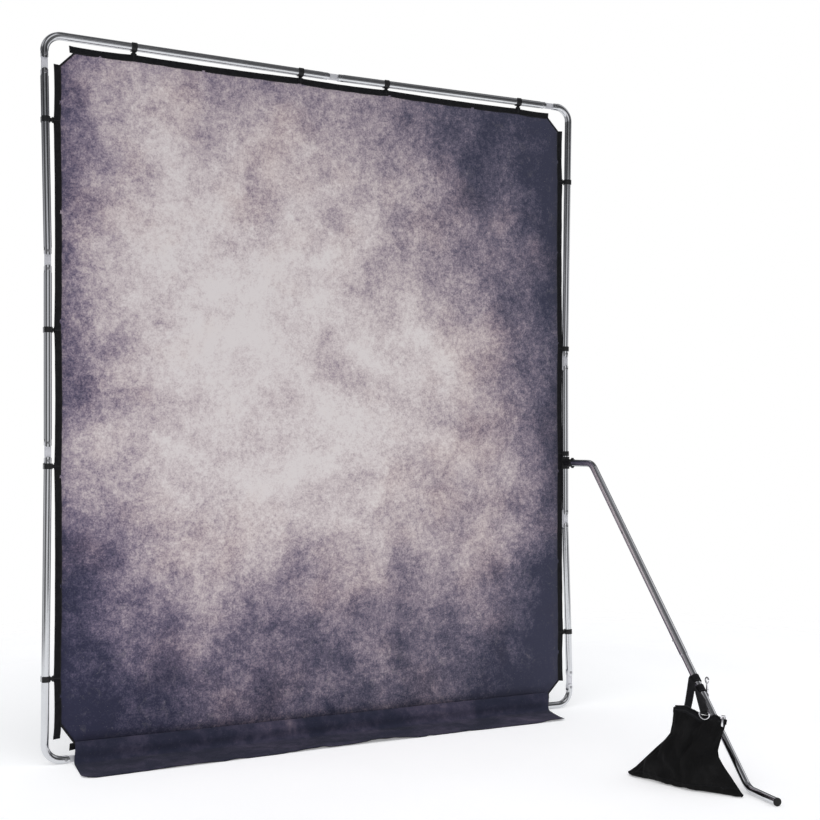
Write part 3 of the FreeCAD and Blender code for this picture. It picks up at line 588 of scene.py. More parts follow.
# Each side: its outer level, the way inwards, its bow, its clips, and where it starts and ends
SIDES = {
    "left": (COVER_LEFT, 1, 0.003, LEFT_CLIPS, COVER_LOW, COVER_HIGH),
    "right": (COVER_RIGHT, -1, 0.001, RIGHT_CLIPS, COVER_LOW, COVER_HIGH),
    "bottom": (COVER_LOW, 1, 0.0, [CENTRE_X - x for x in reversed(TOP_CLIPS)], COVER_LEFT, COVER_RIGHT),
    "top": (COVER_HIGH, -1, 0.0, [CENTRE_X + x for x in TOP_CLIPS], COVER_LEFT, COVER_RIGHT),
}


def edge_offset(side, s):
    """How far the side's outer edge is drawn in at s, by its bow and between its clips."""
    _, _, bow, clips, start, end = SIDES[side]
    middle, half = (start + end) / 2, (end - start) / 2
    drawn = bow * (1 - ((s - middle) / half) ** 2)
    stops = [start + SCALLOP_END] + list(clips) + [end - SCALLOP_END]
    for a, b in zip(stops, stops[1:]):
        if a <= s <= b:
            t = (s - a) / (b - a)
            return drawn + SCALLOP * (4 * t * (1 - t)) ** SCALLOP_SHARPNESS
    return drawn


UPRIGHT = ("left", "right")


def edge_point(side, s, inset):
    """The point of the cover's plane at s along the side, this far inside its outer edge."""
    base, inward, _, _, _, _ = SIDES[side]
    level = base + inward * (edge_offset(side, s) + inset)
    if side in UPRIGHT:
        return Vector((level, PANEL_Y, s))
    return Vector((s, PANEL_Y, level))


# How far from the cover's corners each band starts and ends, where it isn't at the corner's cut
BAND_STARTS = {"left": 0.042, "top": 0.052, "bottom": 0.052}


def cut_points(side):
    """Where the cover's corner cuts meet the side's inner edge."""
    _, _, _, _, start, end = SIDES[side]
    first = start + (LOW_LEFT_CUT if side == "left" else CORNER_CUT)
    return edge_point(side, first, BAND_WIDTH), edge_point(side, end - CORNER_CUT, BAND_WIDTH)


def edge_line(side, inset):
    """Points of a line inside the band at this inset, ending on the band's slanted ends."""
    _, _, _, _, start, end = SIDES[side]
    slant = CORNER_SLANT * (1 - inset / BAND_WIDTH)
    first = start + BAND_STARTS.get(side, CORNER_CUT) - slant
    last = end - CORNER_CUT + slant
    return [edge_point(side, first + (last - first) * k / (BAND_STEPS - 1), inset) for k in range(BAND_STEPS)]


# Where each band's lapped ends lie along its side
OVERLAPS = {"left": (1.058, 1.245), "right": (1.052, 1.242), "top": (CENTRE_X - 0.024, CENTRE_X + 0.051),
            "bottom": (CENTRE_X - 0.05, CENTRE_X + 0.03)}
LAP_HALF_LENGTH = 0.016
LAP_SWELL = 0.55           # how much thicker the band is there, as a share
BAND_EASE = 0.0008
BAND_STEPS = 260
# The band's ripple: height, waves a metre times 2 pi, start
BAND_RIPPLES = ((0.0005, 37.0, 0.0), (0.0004, 91.0, 1.0))


def edge_band(side):
    """The elastic band along one side, thicker where its ends are lapped and sewn."""
    outer = edge_line(side, 0.0)
    inner = edge_line(side, BAND_WIDTH)
    centre = [(a + b) / 2 for a, b in zip(outer, inner)]
    vertices, uvs = [], []
    length = 0.0
    for i, (a, b, c) in enumerate(zip(outer, inner, centre)):
        if i:
            length += (c - centre[i - 1]).length
        s = c.z if side in UPRIGHT else c.x
        lap = max(math.exp(-((s - place) / LAP_HALF_LENGTH) ** 4) for place in OVERLAPS[side])
        ripple = sum(height * math.sin(s * waves + shift) for height, waves, shift in BAND_RIPPLES)
        half = BAND_THICKNESS / 2 * (1 + LAP_SWELL * lap)
        ease = BAND_EASE
        way = (b - a).normalized()
        for across, out in ((0, -half + ease), (ease, -half), (BAND_WIDTH - ease, -half),
                            (BAND_WIDTH, -half + ease), (BAND_WIDTH, half - ease),
                            (BAND_WIDTH - ease, half), (ease, half), (0, half - ease)):
            vertices.append(a + way * (across * (b - a).length / BAND_WIDTH) + Y * (out + ripple))
            uvs.append((length, across - BAND_WIDTH / 2))
    ring = 8
    faces = quads(BAND_STEPS, ring, flip=True)
    faces.append(tuple(range(ring)))
    faces.append(tuple(range(BAND_STEPS * ring - 1, (BAND_STEPS - 1) * ring - 1, -1)))
    band = make_object("band_" + side, vertices, faces, [ELASTIC], True, uvs)
    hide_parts("edge_band_" + side)
    return band


TAB_INSETS = (0.0012, 0.0100, 0.0195)
TAB_OFF = 0.0019           # from the cover's plane
TAB_WIDTH = 0.020
TAB_THICKNESS = 0.0009


def clip_anchor(side, s, index):
    """The sewn tab of webbing that ties the band to a clip, folded over the band's outer edge."""
    front = [edge_point(side, s, inset) - Y * TAB_OFF for inset in reversed(TAB_INSETS)]
    back = [edge_point(side, s, inset) + Y * TAB_OFF for inset in TAB_INSETS]
    points = smooth_line(front + back, 4)
    across = Z if side in UPRIGHT else X
    name = "clip_tab_{}_{}".format(side, index)
    tab = strip(name, points, [across] * len(points), TAB_WIDTH, TAB_THICKNESS, HEM)
    return tab


OUTLINE_STEPS = 90


def sheet_outline():
    """The cover's outline, tucked a little way under the bands, with its corners cut across."""
    runs = {}
    for side in SIDES:
        first, last = cut_points(side)
        line = [first + (last - first) * (k / (OUTLINE_STEPS - 1)) for k in range(OUTLINE_STEPS)]
        line = [edge_point(side, p.z if side in UPRIGHT else p.x, BAND_WIDTH) for p in line]
        shift = (X if side in UPRIGHT else Z) * (-SIDES[side][1] * BAND_TUCK)
        runs[side] = [p + shift for p in line]
    return runs["bottom"] + runs["right"] + runs["top"][::-1] + runs["left"][::-1]


def corner_lines():
    """The four cut corners, from one side's inner edge to the next one's."""
    ends = {side: cut_points(side) for side in SIDES}
    return {
        "bottom_left": (ends["bottom"][0], ends["left"][0]),
        "bottom_right": (ends["bottom"][1], ends["right"][0]),
        "top_right": (ends["top"][1], ends["right"][1]),
        "top_left": (ends["top"][0], ends["left"][1]),
    }


SLACK = 0.0022             # how far the stretched cloth stands off its plane
SLACK_WAVES = 1.7
DRAG = 0.0016              # height of the creases that run in from each clip
DRAG_REACH = 0.13
DRAG_END = 0.5
DRAG_RAYS = 9.0
CALM_WIDTH = 0.05          # along the bands the cloth lies flat


def cover_wave(x, z):
    """How far the stretched cloth stands off its plane: drags from the clips and a slight slackness."""
    edge = min(x - COVER_LEFT, COVER_RIGHT - x, z - COVER_LOW, COVER_HIGH - z) - BAND_WIDTH
    calm = max(0.0, min(1.0, (edge - 0.004) / CALM_WIDTH))
    height = SLACK * noise.noise(Vector((x * SLACK_WAVES, 3.1, z * SLACK_WAVES)))
    for side, (_, _, _, clips, _, _) in SIDES.items():
        for s in clips:
            origin = edge_point(side, s, 0.0)
            dx, dz = x - origin.x, z - origin.z
            far = math.hypot(dx, dz)
            if far < DRAG_END:
                turn = math.atan2(dz, dx)
                height += DRAG * math.exp(-far / DRAG_REACH) * math.sin(turn * DRAG_RAYS + s * 5.0)
    return calm * height


COVER_STEP = 0.021         # between the cover's inner points, in rows of triangles
COVER_ROW = 0.87
COVER_MARGIN = 0.04
COVER_INNER_GAP = 0.035    # from the bands to the first inner point
COVER_CORNER_GAP = 0.02
COVER_THICKNESS = 0.0008


def cover():
    """The printed sheet, its inside filled with even triangles, and its back unprinted."""
    outline = sheet_outline()
    inner = []
    z = COVER_LOW + COVER_MARGIN
    row = 0
    while z < COVER_HIGH - COVER_MARGIN:
        x = COVER_LEFT + COVER_MARGIN + (COVER_STEP / 2 if row % 2 else 0.0)
        while x < COVER_RIGHT - COVER_MARGIN:
            from_side = min(x - COVER_LEFT, COVER_RIGHT - x)
            from_end = min(z - COVER_LOW, COVER_HIGH - z)
            clear = min(from_side, from_end) > BAND_WIDTH + COVER_INNER_GAP
            if clear and from_side + from_end > BAND_WIDTH + LOW_LEFT_CUT + COVER_CORNER_GAP:
                inner.append(Vector((x, z)))
            x += COVER_STEP
        z += COVER_STEP * COVER_ROW
        row += 1
    flat = [Vector((p.x, p.z)) for p in outline]
    count = len(flat)
    edges = [(i, (i + 1) % count) for i in range(count)]
    points, _, faces, _, _, _ = geometry.delaunay_2d_cdt(flat + inner, edges, [], 1, 1e-6)
    vertices = [Vector((p.x, PANEL_Y + cover_wave(p.x, p.y), p.y)) for p in points]
    sheet = make_object("cover", vertices, [tuple(f) for f in faces], [PRINT, BACK])
    mesh = sheet.data
    if mesh.polygons[0].normal.y > 0:
        mesh.flip_normals()
    thick = sheet.modifiers.new("cloth", "SOLIDIFY")
    thick.thickness = COVER_THICKNESS
    thick.offset = 0.0
    thick.use_rim = True
    thick.material_offset = 1
    return sheet


def apply_modifiers(piece):
    graph = bpy.context.evaluated_depsgraph_get()
    mesh = bpy.data.meshes.new_from_object(piece.evaluated_get(graph))
    piece.modifiers.clear()
    piece.data = mesh
    mesh.polygons.foreach_set("use_smooth", [True] * len(mesh.polygons))


COVER = cover()
apply_modifiers(COVER)
BANDS = [edge_band(side) for side in SIDES]
TABS = [clip_anchor(side, s, i) for side, facts in SIDES.items() for i, s in enumerate(facts[3])]
HEM_WIDTH = 0.006
HEM_THICKNESS = 0.0022
HEMS = []
for corner_name, (first, last) in corner_lines().items():
    run = [first + (last - first) * (k / 12) for k in range(-1, 14)]
    across_hem = [(last - first).cross(Y)] * len(run)
    hem = strip("hem_" + corner_name, run, across_hem, HEM_WIDTH, HEM_THICKNESS, HEM)
    HEMS.append(hem)
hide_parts("cover_fabric")


# ---- floor flap

FLAP_LOW, FLAP_HIGH = box_of("floor_flap")
# The flap's path from its seam, down in front of the bottom rail and out along the floor: forward, up
FLAP_PATH = (
    (0.0034, FLAP_HIGH.z - 0.002), (0.0085, 0.058), (0.0165, 0.046), (0.0205, 0.034), (0.0215, 0.022),
    (0.0245, 0.0115), (0.033, 0.0040), (0.048, 0.0016), (0.075, 0.0012), (0.120, 0.0012), (0.184, 0.0012))
FLAP_COLUMNS = 300
FLAP_THICKNESS = 0.0007
FLAP_MIDDLE_LOW = 0.0011   # the least height of the cloth's middle over the floor


def wander(x, y, z):
    return noise.noise(Vector((x, y, z)))


def flap_side(v, near_left):
    """How far the skirt's side edge is drawn sideways at v, from its seam to its front edge."""
    rounded = max(0.0, v - 0.80) / 0.20
    if near_left:
        return 0.012 - 0.030 * v + 0.016 * rounded ** 3
    return -0.052 * v ** 1.3 - 0.004 * rounded ** 3


def floor_flap():
    """The skirt sewn to the cover's bottom, creased at the rail and lying forward on the floor."""
    profile = smooth_line([Vector((0, a, b)) for a, b in FLAP_PATH], 4)
    rows = len(profile)
    total = profile[-1].y
    lengths = [0.0]
    for a, b in zip(profile, profile[1:]):
        lengths.append(lengths[-1] + (b - a).length)
    vertices, uvs = [], []
    for i in range(FLAP_COLUMNS):
        u = i / (FLAP_COLUMNS - 1)
        longer = 0.044 * (1 - u) ** 1.5 + 0.016 * u - 0.010 * math.sin(math.pi * u)
        for j, place in enumerate(profile):
            v = lengths[j] / lengths[-1]
            x = (FLAP_LOW.x + flap_side(v, True)) * (1 - u) + (FLAP_HIGH.x + flap_side(v, False)) * u
            lying = max(0.0, min(1.0, (place.y - 0.030) / 0.06))
            hanging = max(0.0, min(1.0, (place.y - 0.004) / 0.012)) * (1 - lying)
            # Forward: waves where it hangs, a wandering front edge, a rounded corner at the left
            sway = 0.006 * wander(x * 3.1, 5.0, 0) + 0.003 * wander(x * 11, 9, 0)
            corner = 0.012 * max(0.0, 1 - u / 0.012) * max(0.0, v - 0.9) * 10
            reach = place.y + hanging * 0.0035 * wander(x * 14.0, 1.0, place.z * 9)
            reach += lying * (sway + longer) * (place.y / total) - corner
            # Up: broad and narrow ripples on the floor, and a lifting front edge
            lift = lying * max(0.0, wander(x * 6.5, place.y * 9.0, 2.0) - 0.10) * 0.016
            lift += lying * max(0.0, wander(x * 21.0, place.y * 14.0, 7.0) - 0.25) * 0.008
            lift += max(0.0, wander(x * 4.3, 8.0, 3.0) - 0.05) * 0.012 * max(0, v - 0.75) * 4
            vertices.append(Vector((x, PANEL_Y - reach, max(place.z + lift, FLAP_MIDDLE_LOW))))
            uvs.append((x, v))
    faces = quads(FLAP_COLUMNS, rows, flip=True, open_ring=True)
    flap = make_object("skirt", vertices, faces, [FLAP], True, uvs)
    thick = flap.modifiers.new("cloth", "SOLIDIFY")
    thick.thickness = FLAP_THICKNESS
    thick.offset = 0.0
    apply_modifiers(flap)
    return flap, vertices[rows - 1::rows]


SKIRT, SKIRT_EDGE = floor_flap()
SKIRT_HEM = round_cord("skirt_hem", [p + Z * 0.0004 for p in SKIRT_EDGE], 0.0011, HEM)
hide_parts("floor_flap")


# ---- weight bag

BAG_AROUND = 112
BAG_UP = 46
# The mouth's wavy edge: distance from the bag's middle, height over the seam
MOUTH = ((-0.095, 0.013), (-0.045, 0.017), (-0.020, 0.009), (0.005, -0.003), (0.036, -0.001),
         (0.052, 0.005), (0.068, 0.000), (0.095, 0.000))


def between(rows, at):
    """The two rows of a table whose first column brackets this value, and the share between them."""
    for low, high in zip(rows, rows[1:]):
        if at <= high[0]:
            return low, high, max(0.0, (at - low[0]) / (high[0] - low[0]))
    return rows[-1], rows[-1], 0.0


def bag_section(height):
    """Half length, half thickness and the two shifts of the bag at this height."""
    low, high, t = between(BAG_SECTIONS, height)
    return [a + (b - a) * t for a, b in zip(low[1:], high[1:])]


def mouth_lift(along):
    """How far the bag's mouth stands above its seam height at this distance from its middle."""
    low, high, t = between(MOUTH, along)
    return low[1] + (high[1] - low[1]) * t * t * (3 - 2 * t)


def bag_ring(height, inset):
    """One level ring of the bag, with its folds, the tucks under the neck and the sag of its foot."""
    half_length, half_thickness, shift, lean = bag_section(height)
    share = height / BAG_SECTIONS[-1][0]
    ring = []
    for k in range(BAG_AROUND):
        turn = 2 * math.pi * k / BAG_AROUND
        c, s = math.cos(turn), math.sin(turn)
        along = math.copysign(abs(c) ** 0.92, c) * (half_length - inset)
        out = math.copysign(abs(s) ** 1.05, s) * max(half_thickness - inset, 0.003)
        face = math.copysign(min(1.0, abs(s) * 3), s)
        fold = 0.0040 * wander(along * 22 + height * 26, s * 2.0, height * 7.0)
        fold += 0.0026 * wander(along * 60, s * 3.0, height * 22.0 + 4.0)
        crease = 0.0035 * math.sin(along * 78 - height * 70 * math.copysign(1, along))
        fold += crease * 4 * share * (1 - share)
        tuck = -0.011 * math.exp(-((along - 0.006) / 0.015) ** 2)
        tuck -= 0.006 * math.exp(-((along + 0.05) / 0.02) ** 2)
        sag = 0.006 * max(0.0, 1 - share * 1.6) * math.sin(along * 24 + 0.8) * abs(s)
        pinch = tuck * share * (1 - share ** 6)
        place = bag_place(along + lean, shift + out + face * (fold + pinch + sag), height)
        ring.append(place + Z * (mouth_lift(along) * share ** 3))
    return ring


BAG_INSET = 0.004          # the shape before it swells
MOUTH_INSET = 0.002
FOOT_HEIGHT = 0.0018
FLOOR_GAP = 0.0016


def weight_bag():
    """A stuffed bag with a flat base and a pinched, leaning neck, swollen by cloth simulation."""
    top = BAG_SECTIONS[-1][0]
    vertices = []
    for j in range(BAG_UP):
        height = top * (j / (BAG_UP - 1)) ** 1.15
        inset = BAG_INSET if j < BAG_UP - 3 else MOUTH_INSET
        vertices.extend(bag_ring(max(height, FOOT_HEIGHT), inset))
    faces = quads(BAG_UP, BAG_AROUND)
    for base, flip in ((0, True), ((BAG_UP - 1) * BAG_AROUND, False)):
        for k in range(BAG_AROUND // 2):
            quad = (base + k, base + k + 1, base + (BAG_AROUND - k - 1) % BAG_AROUND,
                    base + (BAG_AROUND - k) % BAG_AROUND)
            quad = tuple(dict.fromkeys(quad))
            faces.append(quad[::-1] if flip else quad)
    bag = make_object("weight_bag", vertices, faces, [BAG_CLOTH])
    swell(bag)
    finish = bag.modifiers.new("smooth", "SUBSURF")
    finish.levels = 1
    finish.render_levels = 1
    return bag


SWELL_FRAMES = 18
SWELL_MOST = 0.011         # how far a point may move
SWELL_END_HOLD = 0.85      # how much less at the bag's two ends
HELD_BELOW = 0.004
SWELL_SETTINGS = {
    "quality": 6, "mass": 0.3, "tension_stiffness": 25, "compression_stiffness": 25, "shear_stiffness": 8,
    "bending_stiffness": 0.6, "use_pressure": True, "uniform_pressure_force": 2.2, "shrink_min": -0.05,
    "vertex_group_mass": "held"}


def swell(bag):
    """Cloth simulation with a little spare cloth, so that the bag fills out and creases."""
    start = [v.co.copy() for v in bag.data.vertices]
    held = bag.vertex_groups.new(name="held")
    mouth = (BAG_UP - 4) * BAG_AROUND
    held.add([i for i, p in enumerate(start) if p.z < HELD_BELOW or i > mouth], 1.0, "REPLACE")
    cloth_step = bag.modifiers.new("cloth", "CLOTH")
    settings = cloth_step.settings
    for setting, value in SWELL_SETTINGS.items():
        setattr(settings, setting, value)
    settings.effector_weights.gravity = 0.0
    cloth_step.collision_settings.use_self_collision = False
    cloth_step.point_cache.frame_start = 1
    cloth_step.point_cache.frame_end = SWELL_FRAMES
    for step in range(1, SWELL_FRAMES + 1):
        bpy.context.scene.frame_set(step)
    graph = bpy.context.evaluated_depsgraph_get()
    moved = [v.co.copy() for v in bag.evaluated_get(graph).data.vertices]
    bag.modifiers.clear()
    bag.vertex_groups.clear()
    for number, (vertex, old, new) in enumerate(zip(bag.data.vertices, start, moved)):
        shift = new - old
        end = abs(math.cos(2 * math.pi * (number % BAG_AROUND) / BAG_AROUND))
        most = SWELL_MOST * (1 - SWELL_END_HOLD * end ** 6)
        if shift.length > most:
            shift *= most / shift.length
        place = old + shift
        place.z = max(place.z, FLOOR_GAP)
        vertex.co = place
    bpy.context.scene.frame_set(1)


BAG = weight_bag()
BAG_POINTS = [v.co.copy() for v in BAG.data.vertices]
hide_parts("bag_shell", "bag_filling")


def bag_column(k):
    return [BAG_POINTS[j * BAG_AROUND + k % BAG_AROUND] for j in range(BAG_UP)]


def pushed_out(points, centre_line, distance):
    return [p + (p - c).normalized() * distance for p, c in zip(points, centre_line)]


SEAM_R = 0.0017
BASE_SEAM_R = 0.0014
BASE_ROW = 7
BAG_MIDDLE = [(a + b) / 2 for a, b in zip(bag_column(0), bag_column(BAG_AROUND // 2))]
BAG_TRIMS = []
for seam, column in (("near", 0), ("far", BAG_AROUND // 2)):
    seam_line = pushed_out(bag_column(column), BAG_MIDDLE, 0.0008)
    BAG_TRIMS.append(round_cord("bag_seam_" + seam, seam_line, SEAM_R, HEM))
base_ring = BAG_POINTS[BASE_ROW * BAG_AROUND:(BASE_ROW + 1) * BAG_AROUND]
base_middle = sum(base_ring, Vector()) / BAG_AROUND
base_line = pushed_out(base_ring, [base_middle] * BAG_AROUND, 0.0004)
BAG_TRIMS.append(round_cord("bag_seam_base", base_line, BASE_SEAM_R, HEM, True))
seam_row = BAG_POINTS[(BASE_ROW + 1) * BAG_AROUND:(BASE_ROW + 2) * BAG_AROUND]
seam_outs = [(p - base_middle).normalized() for p in seam_row]
BAG_TRIMS.append(stitches("bag_stitch_base", seam_row, seam_outs, TAPE))

TOP_HEIGHT = BAG_SECTIONS[-1][0]
TOP_SHIFT = BAG_SECTIONS[-1][3]
HEM_HALF_LENGTH = 0.0873
HEM_HALF_DEPTH = 0.0098
HEM_BELOW = 0.0060         # from the mouth to the hem's middle
hem_ring = []
for k in range(BAG_AROUND):
    angle = 2 * math.pi * k / BAG_AROUND
    across = math.cos(angle) * HEM_HALF_LENGTH
    hem_ring.append(bag_point(across, TOP_SHIFT + math.sin(angle) * HEM_HALF_DEPTH,
                              TOP_HEIGHT - HEM_BELOW + mouth_lift(across)))
BAG_TRIMS.append(strip("bag_top_hem", hem_ring, [Z] * BAG_AROUND, 0.0155, 0.0016, HEM, True))

ZIP_HALF_LENGTH = 0.083
ZIP_HEIGHT = 0.2085
ZIP_PITCH = 0.0024
TOOTH = Vector((0.0008, 0.0009, 0.0012))
TOOTH_FACES = ((0, 1, 3, 2), (4, 6, 7, 5), (0, 4, 5, 1), (2, 3, 7, 6), (0, 2, 6, 4), (1, 5, 7, 3))
TAPE_HALF_LENGTH = 0.084
TAPE_HEIGHT = 0.2052
TAPE_STEPS = 60


def zip_row():
    """Two rows of interlocking teeth, closed along the bag's mouth."""
    vertices, faces = [], []
    for i in range(int(2 * ZIP_HALF_LENGTH / ZIP_PITCH)):
        at = -ZIP_HALF_LENGTH + i * ZIP_PITCH
        side = 0.0006 if i % 2 else -0.0006
        centre = bag_point(at, TOP_SHIFT + side, ZIP_HEIGHT + mouth_lift(at))
        faces.extend([tuple(len(vertices) + corner for corner in face) for face in TOOTH_FACES])
        for a in (-1, 1):
            for o in (-1, 1):
                for h in (-1, 1):
                    vertices.append(centre + BAG_ALONG * (a * TOOTH.x) + BAG_TO_LEG * (o * TOOTH.y)
                                    + Z * (h * TOOTH.z))
    return make_object("zip_teeth", vertices, faces, [ZIP_TEETH], False)


def zip_tape():
    places = [-TAPE_HALF_LENGTH + 2 * TAPE_HALF_LENGTH * k / TAPE_STEPS for k in range(TAPE_STEPS + 1)]
    line = [bag_point(at, TOP_SHIFT, TAPE_HEIGHT + mouth_lift(at)) for at in places]
    return strip("zip_tape", line, [Z] * len(line), 0.0050, 0.0012, HEM)


ZIP = zip_row()
ZIP_TAPE = zip_tape()
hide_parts("bag_zip")


def zip_pull():
    """The slider's flat pull, hanging on the near side."""
    top = bag_point(0.0805, TOP_SHIFT - 0.0060, 0.2100)
    hang = ((0, 0), (0.0035, 0.004), (0.0050, 0.016), (0.0052, 0.026))
    line = smooth_line([top - BAG_TO_LEG * off - Z * down for off, down in hang], 5)
    return strip("zip_pull", line, [BAG_ALONG] * len(line), 0.0062, 0.0016, CHROME)


PULL = zip_pull()


# ---- straps

ARM_CORNER = Vector((0.0, -0.240, 0.933))
FOOT_CORNER = Vector((0.0, -1.295, 0.013))
SLOPE = (FOOT_CORNER - ARM_CORNER).normalized()
LOOP_HEIGHT = 0.262
LOOP_SPACING = 0.040
LOOP_R = 0.0126
LOOP_STEPS = 48
STRAP_WIDTH = 0.025
STRAP_THICKNESS = 0.0019


def loop_centre(offset):
    return ARM_CORNER + SLOPE * ((ARM_CORNER.z - LOOP_HEIGHT) / -SLOPE.z + offset)


def strap_loop(name, offset):
    """A turn of webbing round the lower leg tube."""
    centre = loop_centre(offset)
    up = SLOPE.cross(X).normalized()
    points = []
    for k in range(LOOP_STEPS):
        turn = 2 * math.pi * k / LOOP_STEPS
        points.append(leg_point(*(centre + (X * math.cos(turn) + up * math.sin(turn)) * LOOP_R)))
    widths = [leg_way(*SLOPE)] * LOOP_STEPS
    return strip(name, points, widths, STRAP_WIDTH, STRAP_THICKNESS, TAPE, True)


def strap_run(name, offset, low_end, sag):
    """The strap's flat run from the turn down to the bag."""
    centre = loop_centre(offset)
    tangent = leg_point(*(centre - X * (LOOP_R + 0.0004)))
    high = leg_point(*(centre - X * (LOOP_R - 0.0002) - SLOPE.cross(X).normalized() * 0.006))
    middle = (tangent + low_end) / 2 - BAG_TO_LEG * sag
    points = smooth_line([high, tangent, middle, low_end], 8)
    count = len(points)
    start = leg_way(*SLOPE)
    acrosses = []
    for k in range(count):
        t = min(1.0, max(0.0, (k / (count - 1) - 0.2) / 0.6))
        acrosses.append((start * (1 - t) + BAG_ALONG * t).normalized())
    return strip(name, points, acrosses, STRAP_WIDTH - 0.001, STRAP_THICKNESS, TAPE)


LEFT_LOW = bag_point(-0.060, TOP_SHIFT + 0.0145, TOP_HEIGHT - 0.024)
RING_BAR = bag_point(0.027, TOP_SHIFT - 0.019, 0.217)
SLEEVE_R = 0.0036
SLEEVE_STEPS = 24
STRAP_LEFT_LOOP = strap_loop("strap_left_loop", -LOOP_SPACING / 2)
STRAP_LEFT_RUN = strap_run("strap_left_run", -LOOP_SPACING / 2, LEFT_LOW, -0.003)
STRAP_RIGHT_LOOP = strap_loop("strap_right_loop", LOOP_SPACING / 2)
STRAP_RIGHT_RUN = strap_run("strap_right_run", LOOP_SPACING / 2, RING_BAR + Z * SLEEVE_R, -0.002)
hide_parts("strap_left")
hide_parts("strap_right")

ring_turn = []
for k in range(SLEEVE_STEPS):
    angle = 2 * math.pi * k / SLEEVE_STEPS
    ring_turn.append(RING_BAR + BAG_TO_LEG * (math.cos(angle) * SLEEVE_R) + Z * (math.sin(angle) * SLEEVE_R))
RING_SLEEVE = strip("ring_sleeve", ring_turn, [BAG_ALONG] * SLEEVE_STEPS, 0.024, 0.0014, TAPE, True)

eye_top = leg_point(0.0150, -1.025, 0.236)
eye_low = leg_point(0.0205, -1.025, 0.2295)
TAB_LINE = smooth_line([eye_top + Z * 0.012, eye_top, (eye_top + eye_low) / 2, eye_low], 5)
HOOK_TAB = strip("hook_webbing", TAB_LINE, [leg_way(0, 1, 0)] * len(TAB_LINE), 0.0085, 0.0014, TAPE)
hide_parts("hook_tab")

STRAPS = [STRAP_LEFT_LOOP, STRAP_LEFT_RUN, STRAP_RIGHT_LOOP, STRAP_RIGHT_RUN, RING_SLEEVE, HOOK_TAB]


# ---- bodies

# When the real frame folds, the cover is gathered at the right pole, hanging a little in front of the frame;
# here the cover pieces ride on the root body
for piece in [COVER, SKIRT, SKIRT_HEM] + BANDS + TABS + HEMS:
    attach(piece, "root")
    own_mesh(piece)
for piece in [BAG, ZIP, ZIP_TAPE] + BAG_TRIMS + STRAPS:
    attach(piece, "leg")
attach(PULL, "zip_slider")


# ---- floor, light, camera

FLOOR_HALF_SIZE = 6.0
FLOOR_FADE = (2.6, 4.2)    # distances from the middle between which the floor melts into the white
FLOOR_GLOW = 0.26


def floor():
    """A pale floor whose far part melts into the white of the studio."""
    look = Look("floor", (0.88, 0.88, 0.88), 0.7, Specular_IOR_Level=0.1)
    soft = look.noise(1.3, 4.0)
    look.colour(look.ramp(soft, ((0.3, (0.86, 0.86, 0.865)), (0.7, (0.90, 0.90, 0.905)))))
    look.shader.inputs["Emission Color"].default_value = (1, 1, 1, 1)
    look.shader.inputs["Emission Strength"].default_value = FLOOR_GLOW
    far = look.add("ShaderNodeVectorMath", {0: look.place}, operation="LENGTH").outputs["Value"]
    look.links.new(look.spread(far, *FLOOR_FADE, 1.0, 0.0), look.shader.inputs["Alpha"])
    size = FLOOR_HALF_SIZE
    corners = [(-size, -size, 0), (size, -size, 0), (size, size, 0), (-size, size, 0)]
    make_object("studio_floor", corners, [(0, 1, 2, 3)], [look.material], False)


def soft_sun(name, from_where, power, spread):
    """A wide, soft light from one direction, left out of the metal's reflections."""
    light = bpy.data.lights.new(name, "SUN")
    light.energy = power
    light.angle = math.radians(spread)
    lamp = bpy.data.objects.new(name, light)
    lamp.rotation_euler = Vector(from_where).to_track_quat("Z", "Y").to_euler()
    lamp.visible_glossy = False
    bpy.context.collection.objects.link(lamp)


# Brightness of what the metal sees, once round the horizon
REFLECTED = (
    (0.00, 0.80), (0.04, 0.30), (0.10, 0.12), (0.16, 0.14), (0.20, 0.85), (0.26, 0.95), (0.29, 0.20),
    (0.36, 0.10), (0.42, 0.34), (0.46, 0.90), (0.52, 0.90), (0.55, 0.22), (0.62, 0.12), (0.68, 0.45),
    (0.74, 0.95), (0.82, 0.95), (0.86, 0.28), (0.93, 0.24), (1.00, 0.80))

# The same from the horizon (0) straight up (1)
HEIGHTS = (
    (0.00, 1.0), (0.14, 0.9), (0.24, 0.22), (0.42, 0.30), (0.50, 1.0), (0.74, 1.0), (0.84, 0.35),
    (1.00, 0.35))


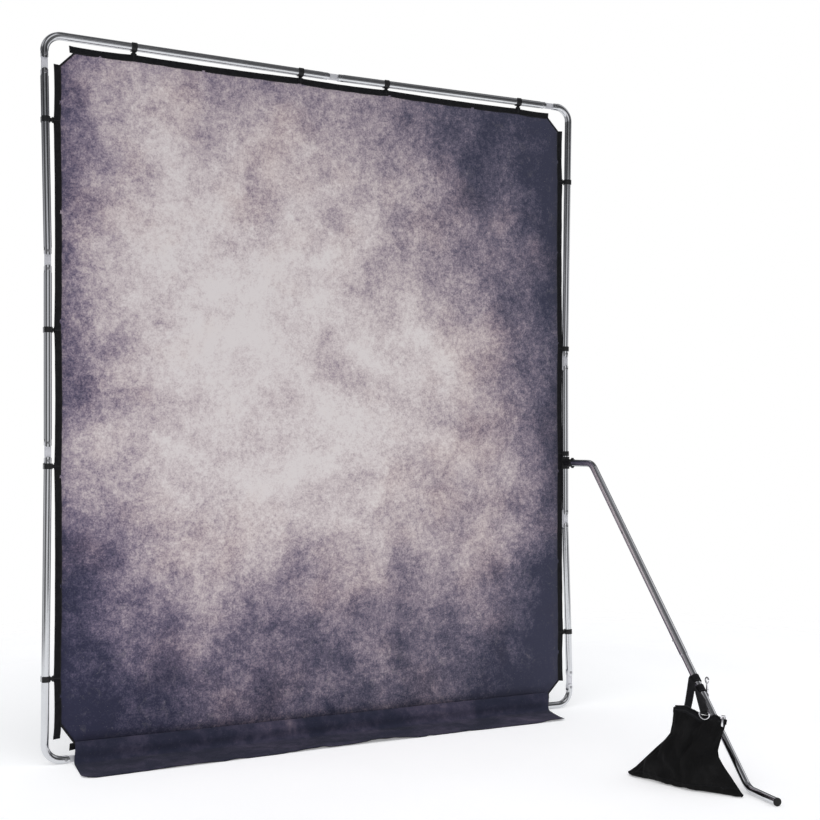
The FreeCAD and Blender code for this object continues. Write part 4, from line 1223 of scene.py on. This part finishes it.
def studio_world():
    """White to the camera, an even grey to cloth, and bright and dark panels for metal to reflect."""
    world = bpy.data.worlds.new("studio")
    world.use_nodes = True
    build = Nodes(world.node_tree)
    for node in list(build.nodes):
        build.nodes.remove(node)

    def greys(stops):
        return [(at, (shade, shade, min(1.0, shade * 1.02))) for at, shade in stops]

    def background(colour, strength):
        return build.add("ShaderNodeBackground", {"Strength": strength, "Color": colour}).outputs[0]

    def choose(share, first, second):
        return build.add("ShaderNodeMixShader", {0: share, 1: first, 2: second}).outputs[0]

    place = build.add("ShaderNodeTexCoord").outputs["Generated"]
    turn = build.add("ShaderNodeTexGradient", {"Vector": place}, gradient_type="RADIAL").outputs["Fac"]
    panels = build.ramp(turn, greys(REFLECTED))
    up = build.add("ShaderNodeSeparateXYZ", {"Vector": place}).outputs["Z"]
    shiny = build.mix(1.0, panels, build.ramp(up, greys(HEIGHTS)), "MULTIPLY")
    rays = build.add("ShaderNodeLightPath").outputs
    even = choose(rays["Is Glossy Ray"], background((0.95, 0.97, 1.0, 1), 0.55), background(shiny, 1.0))
    seen = choose(rays["Is Camera Ray"], even, background((1, 1, 1, 1), 1.0))
    build.add("ShaderNodeOutputWorld", {"Surface": seen})
    bpy.context.scene.world = world


def studio():
    floor()
    soft_sun("key", (-0.50, -0.70, 1.00), 1.15, 70)
    soft_sun("fill", (0.80, -0.90, 0.90), 0.45, 60)
    studio_world()


CAMERA_PLACE = (-1.8848, -3.4586, 0.9952)
CAMERA_YAW = math.radians(27.67)
CAMERA_PITCH = math.radians(0.177)
CAMERA_ROLL = math.radians(-0.06)
CAMERA_LENS = 57.58
CAMERA_SHIFT_UP = 0.0397


def camera():
    data = bpy.data.cameras.new("camera")
    data.lens = CAMERA_LENS
    data.sensor_width = 36.0
    data.shift_y = CAMERA_SHIFT_UP
    data.clip_end = 200.0
    eye = bpy.data.objects.new("camera", data)
    level = math.cos(CAMERA_PITCH)
    ahead = Vector((math.sin(CAMERA_YAW) * level, math.cos(CAMERA_YAW) * level, math.sin(CAMERA_PITCH)))
    right = Vector((math.cos(CAMERA_YAW), -math.sin(CAMERA_YAW), 0))
    up = right.cross(ahead)
    c, s = math.cos(CAMERA_ROLL), math.sin(CAMERA_ROLL)
    right, up = right * c + up * s, up * c - right * s
    turn = Matrix((right, up, -ahead)).transposed().to_4x4()
    eye.matrix_world = Matrix.Translation(CAMERA_PLACE) @ turn
    bpy.context.collection.objects.link(eye)
    bpy.context.scene.camera = eye
    bpy.context.scene.view_settings.view_transform = "Standard"


studio()
camera()
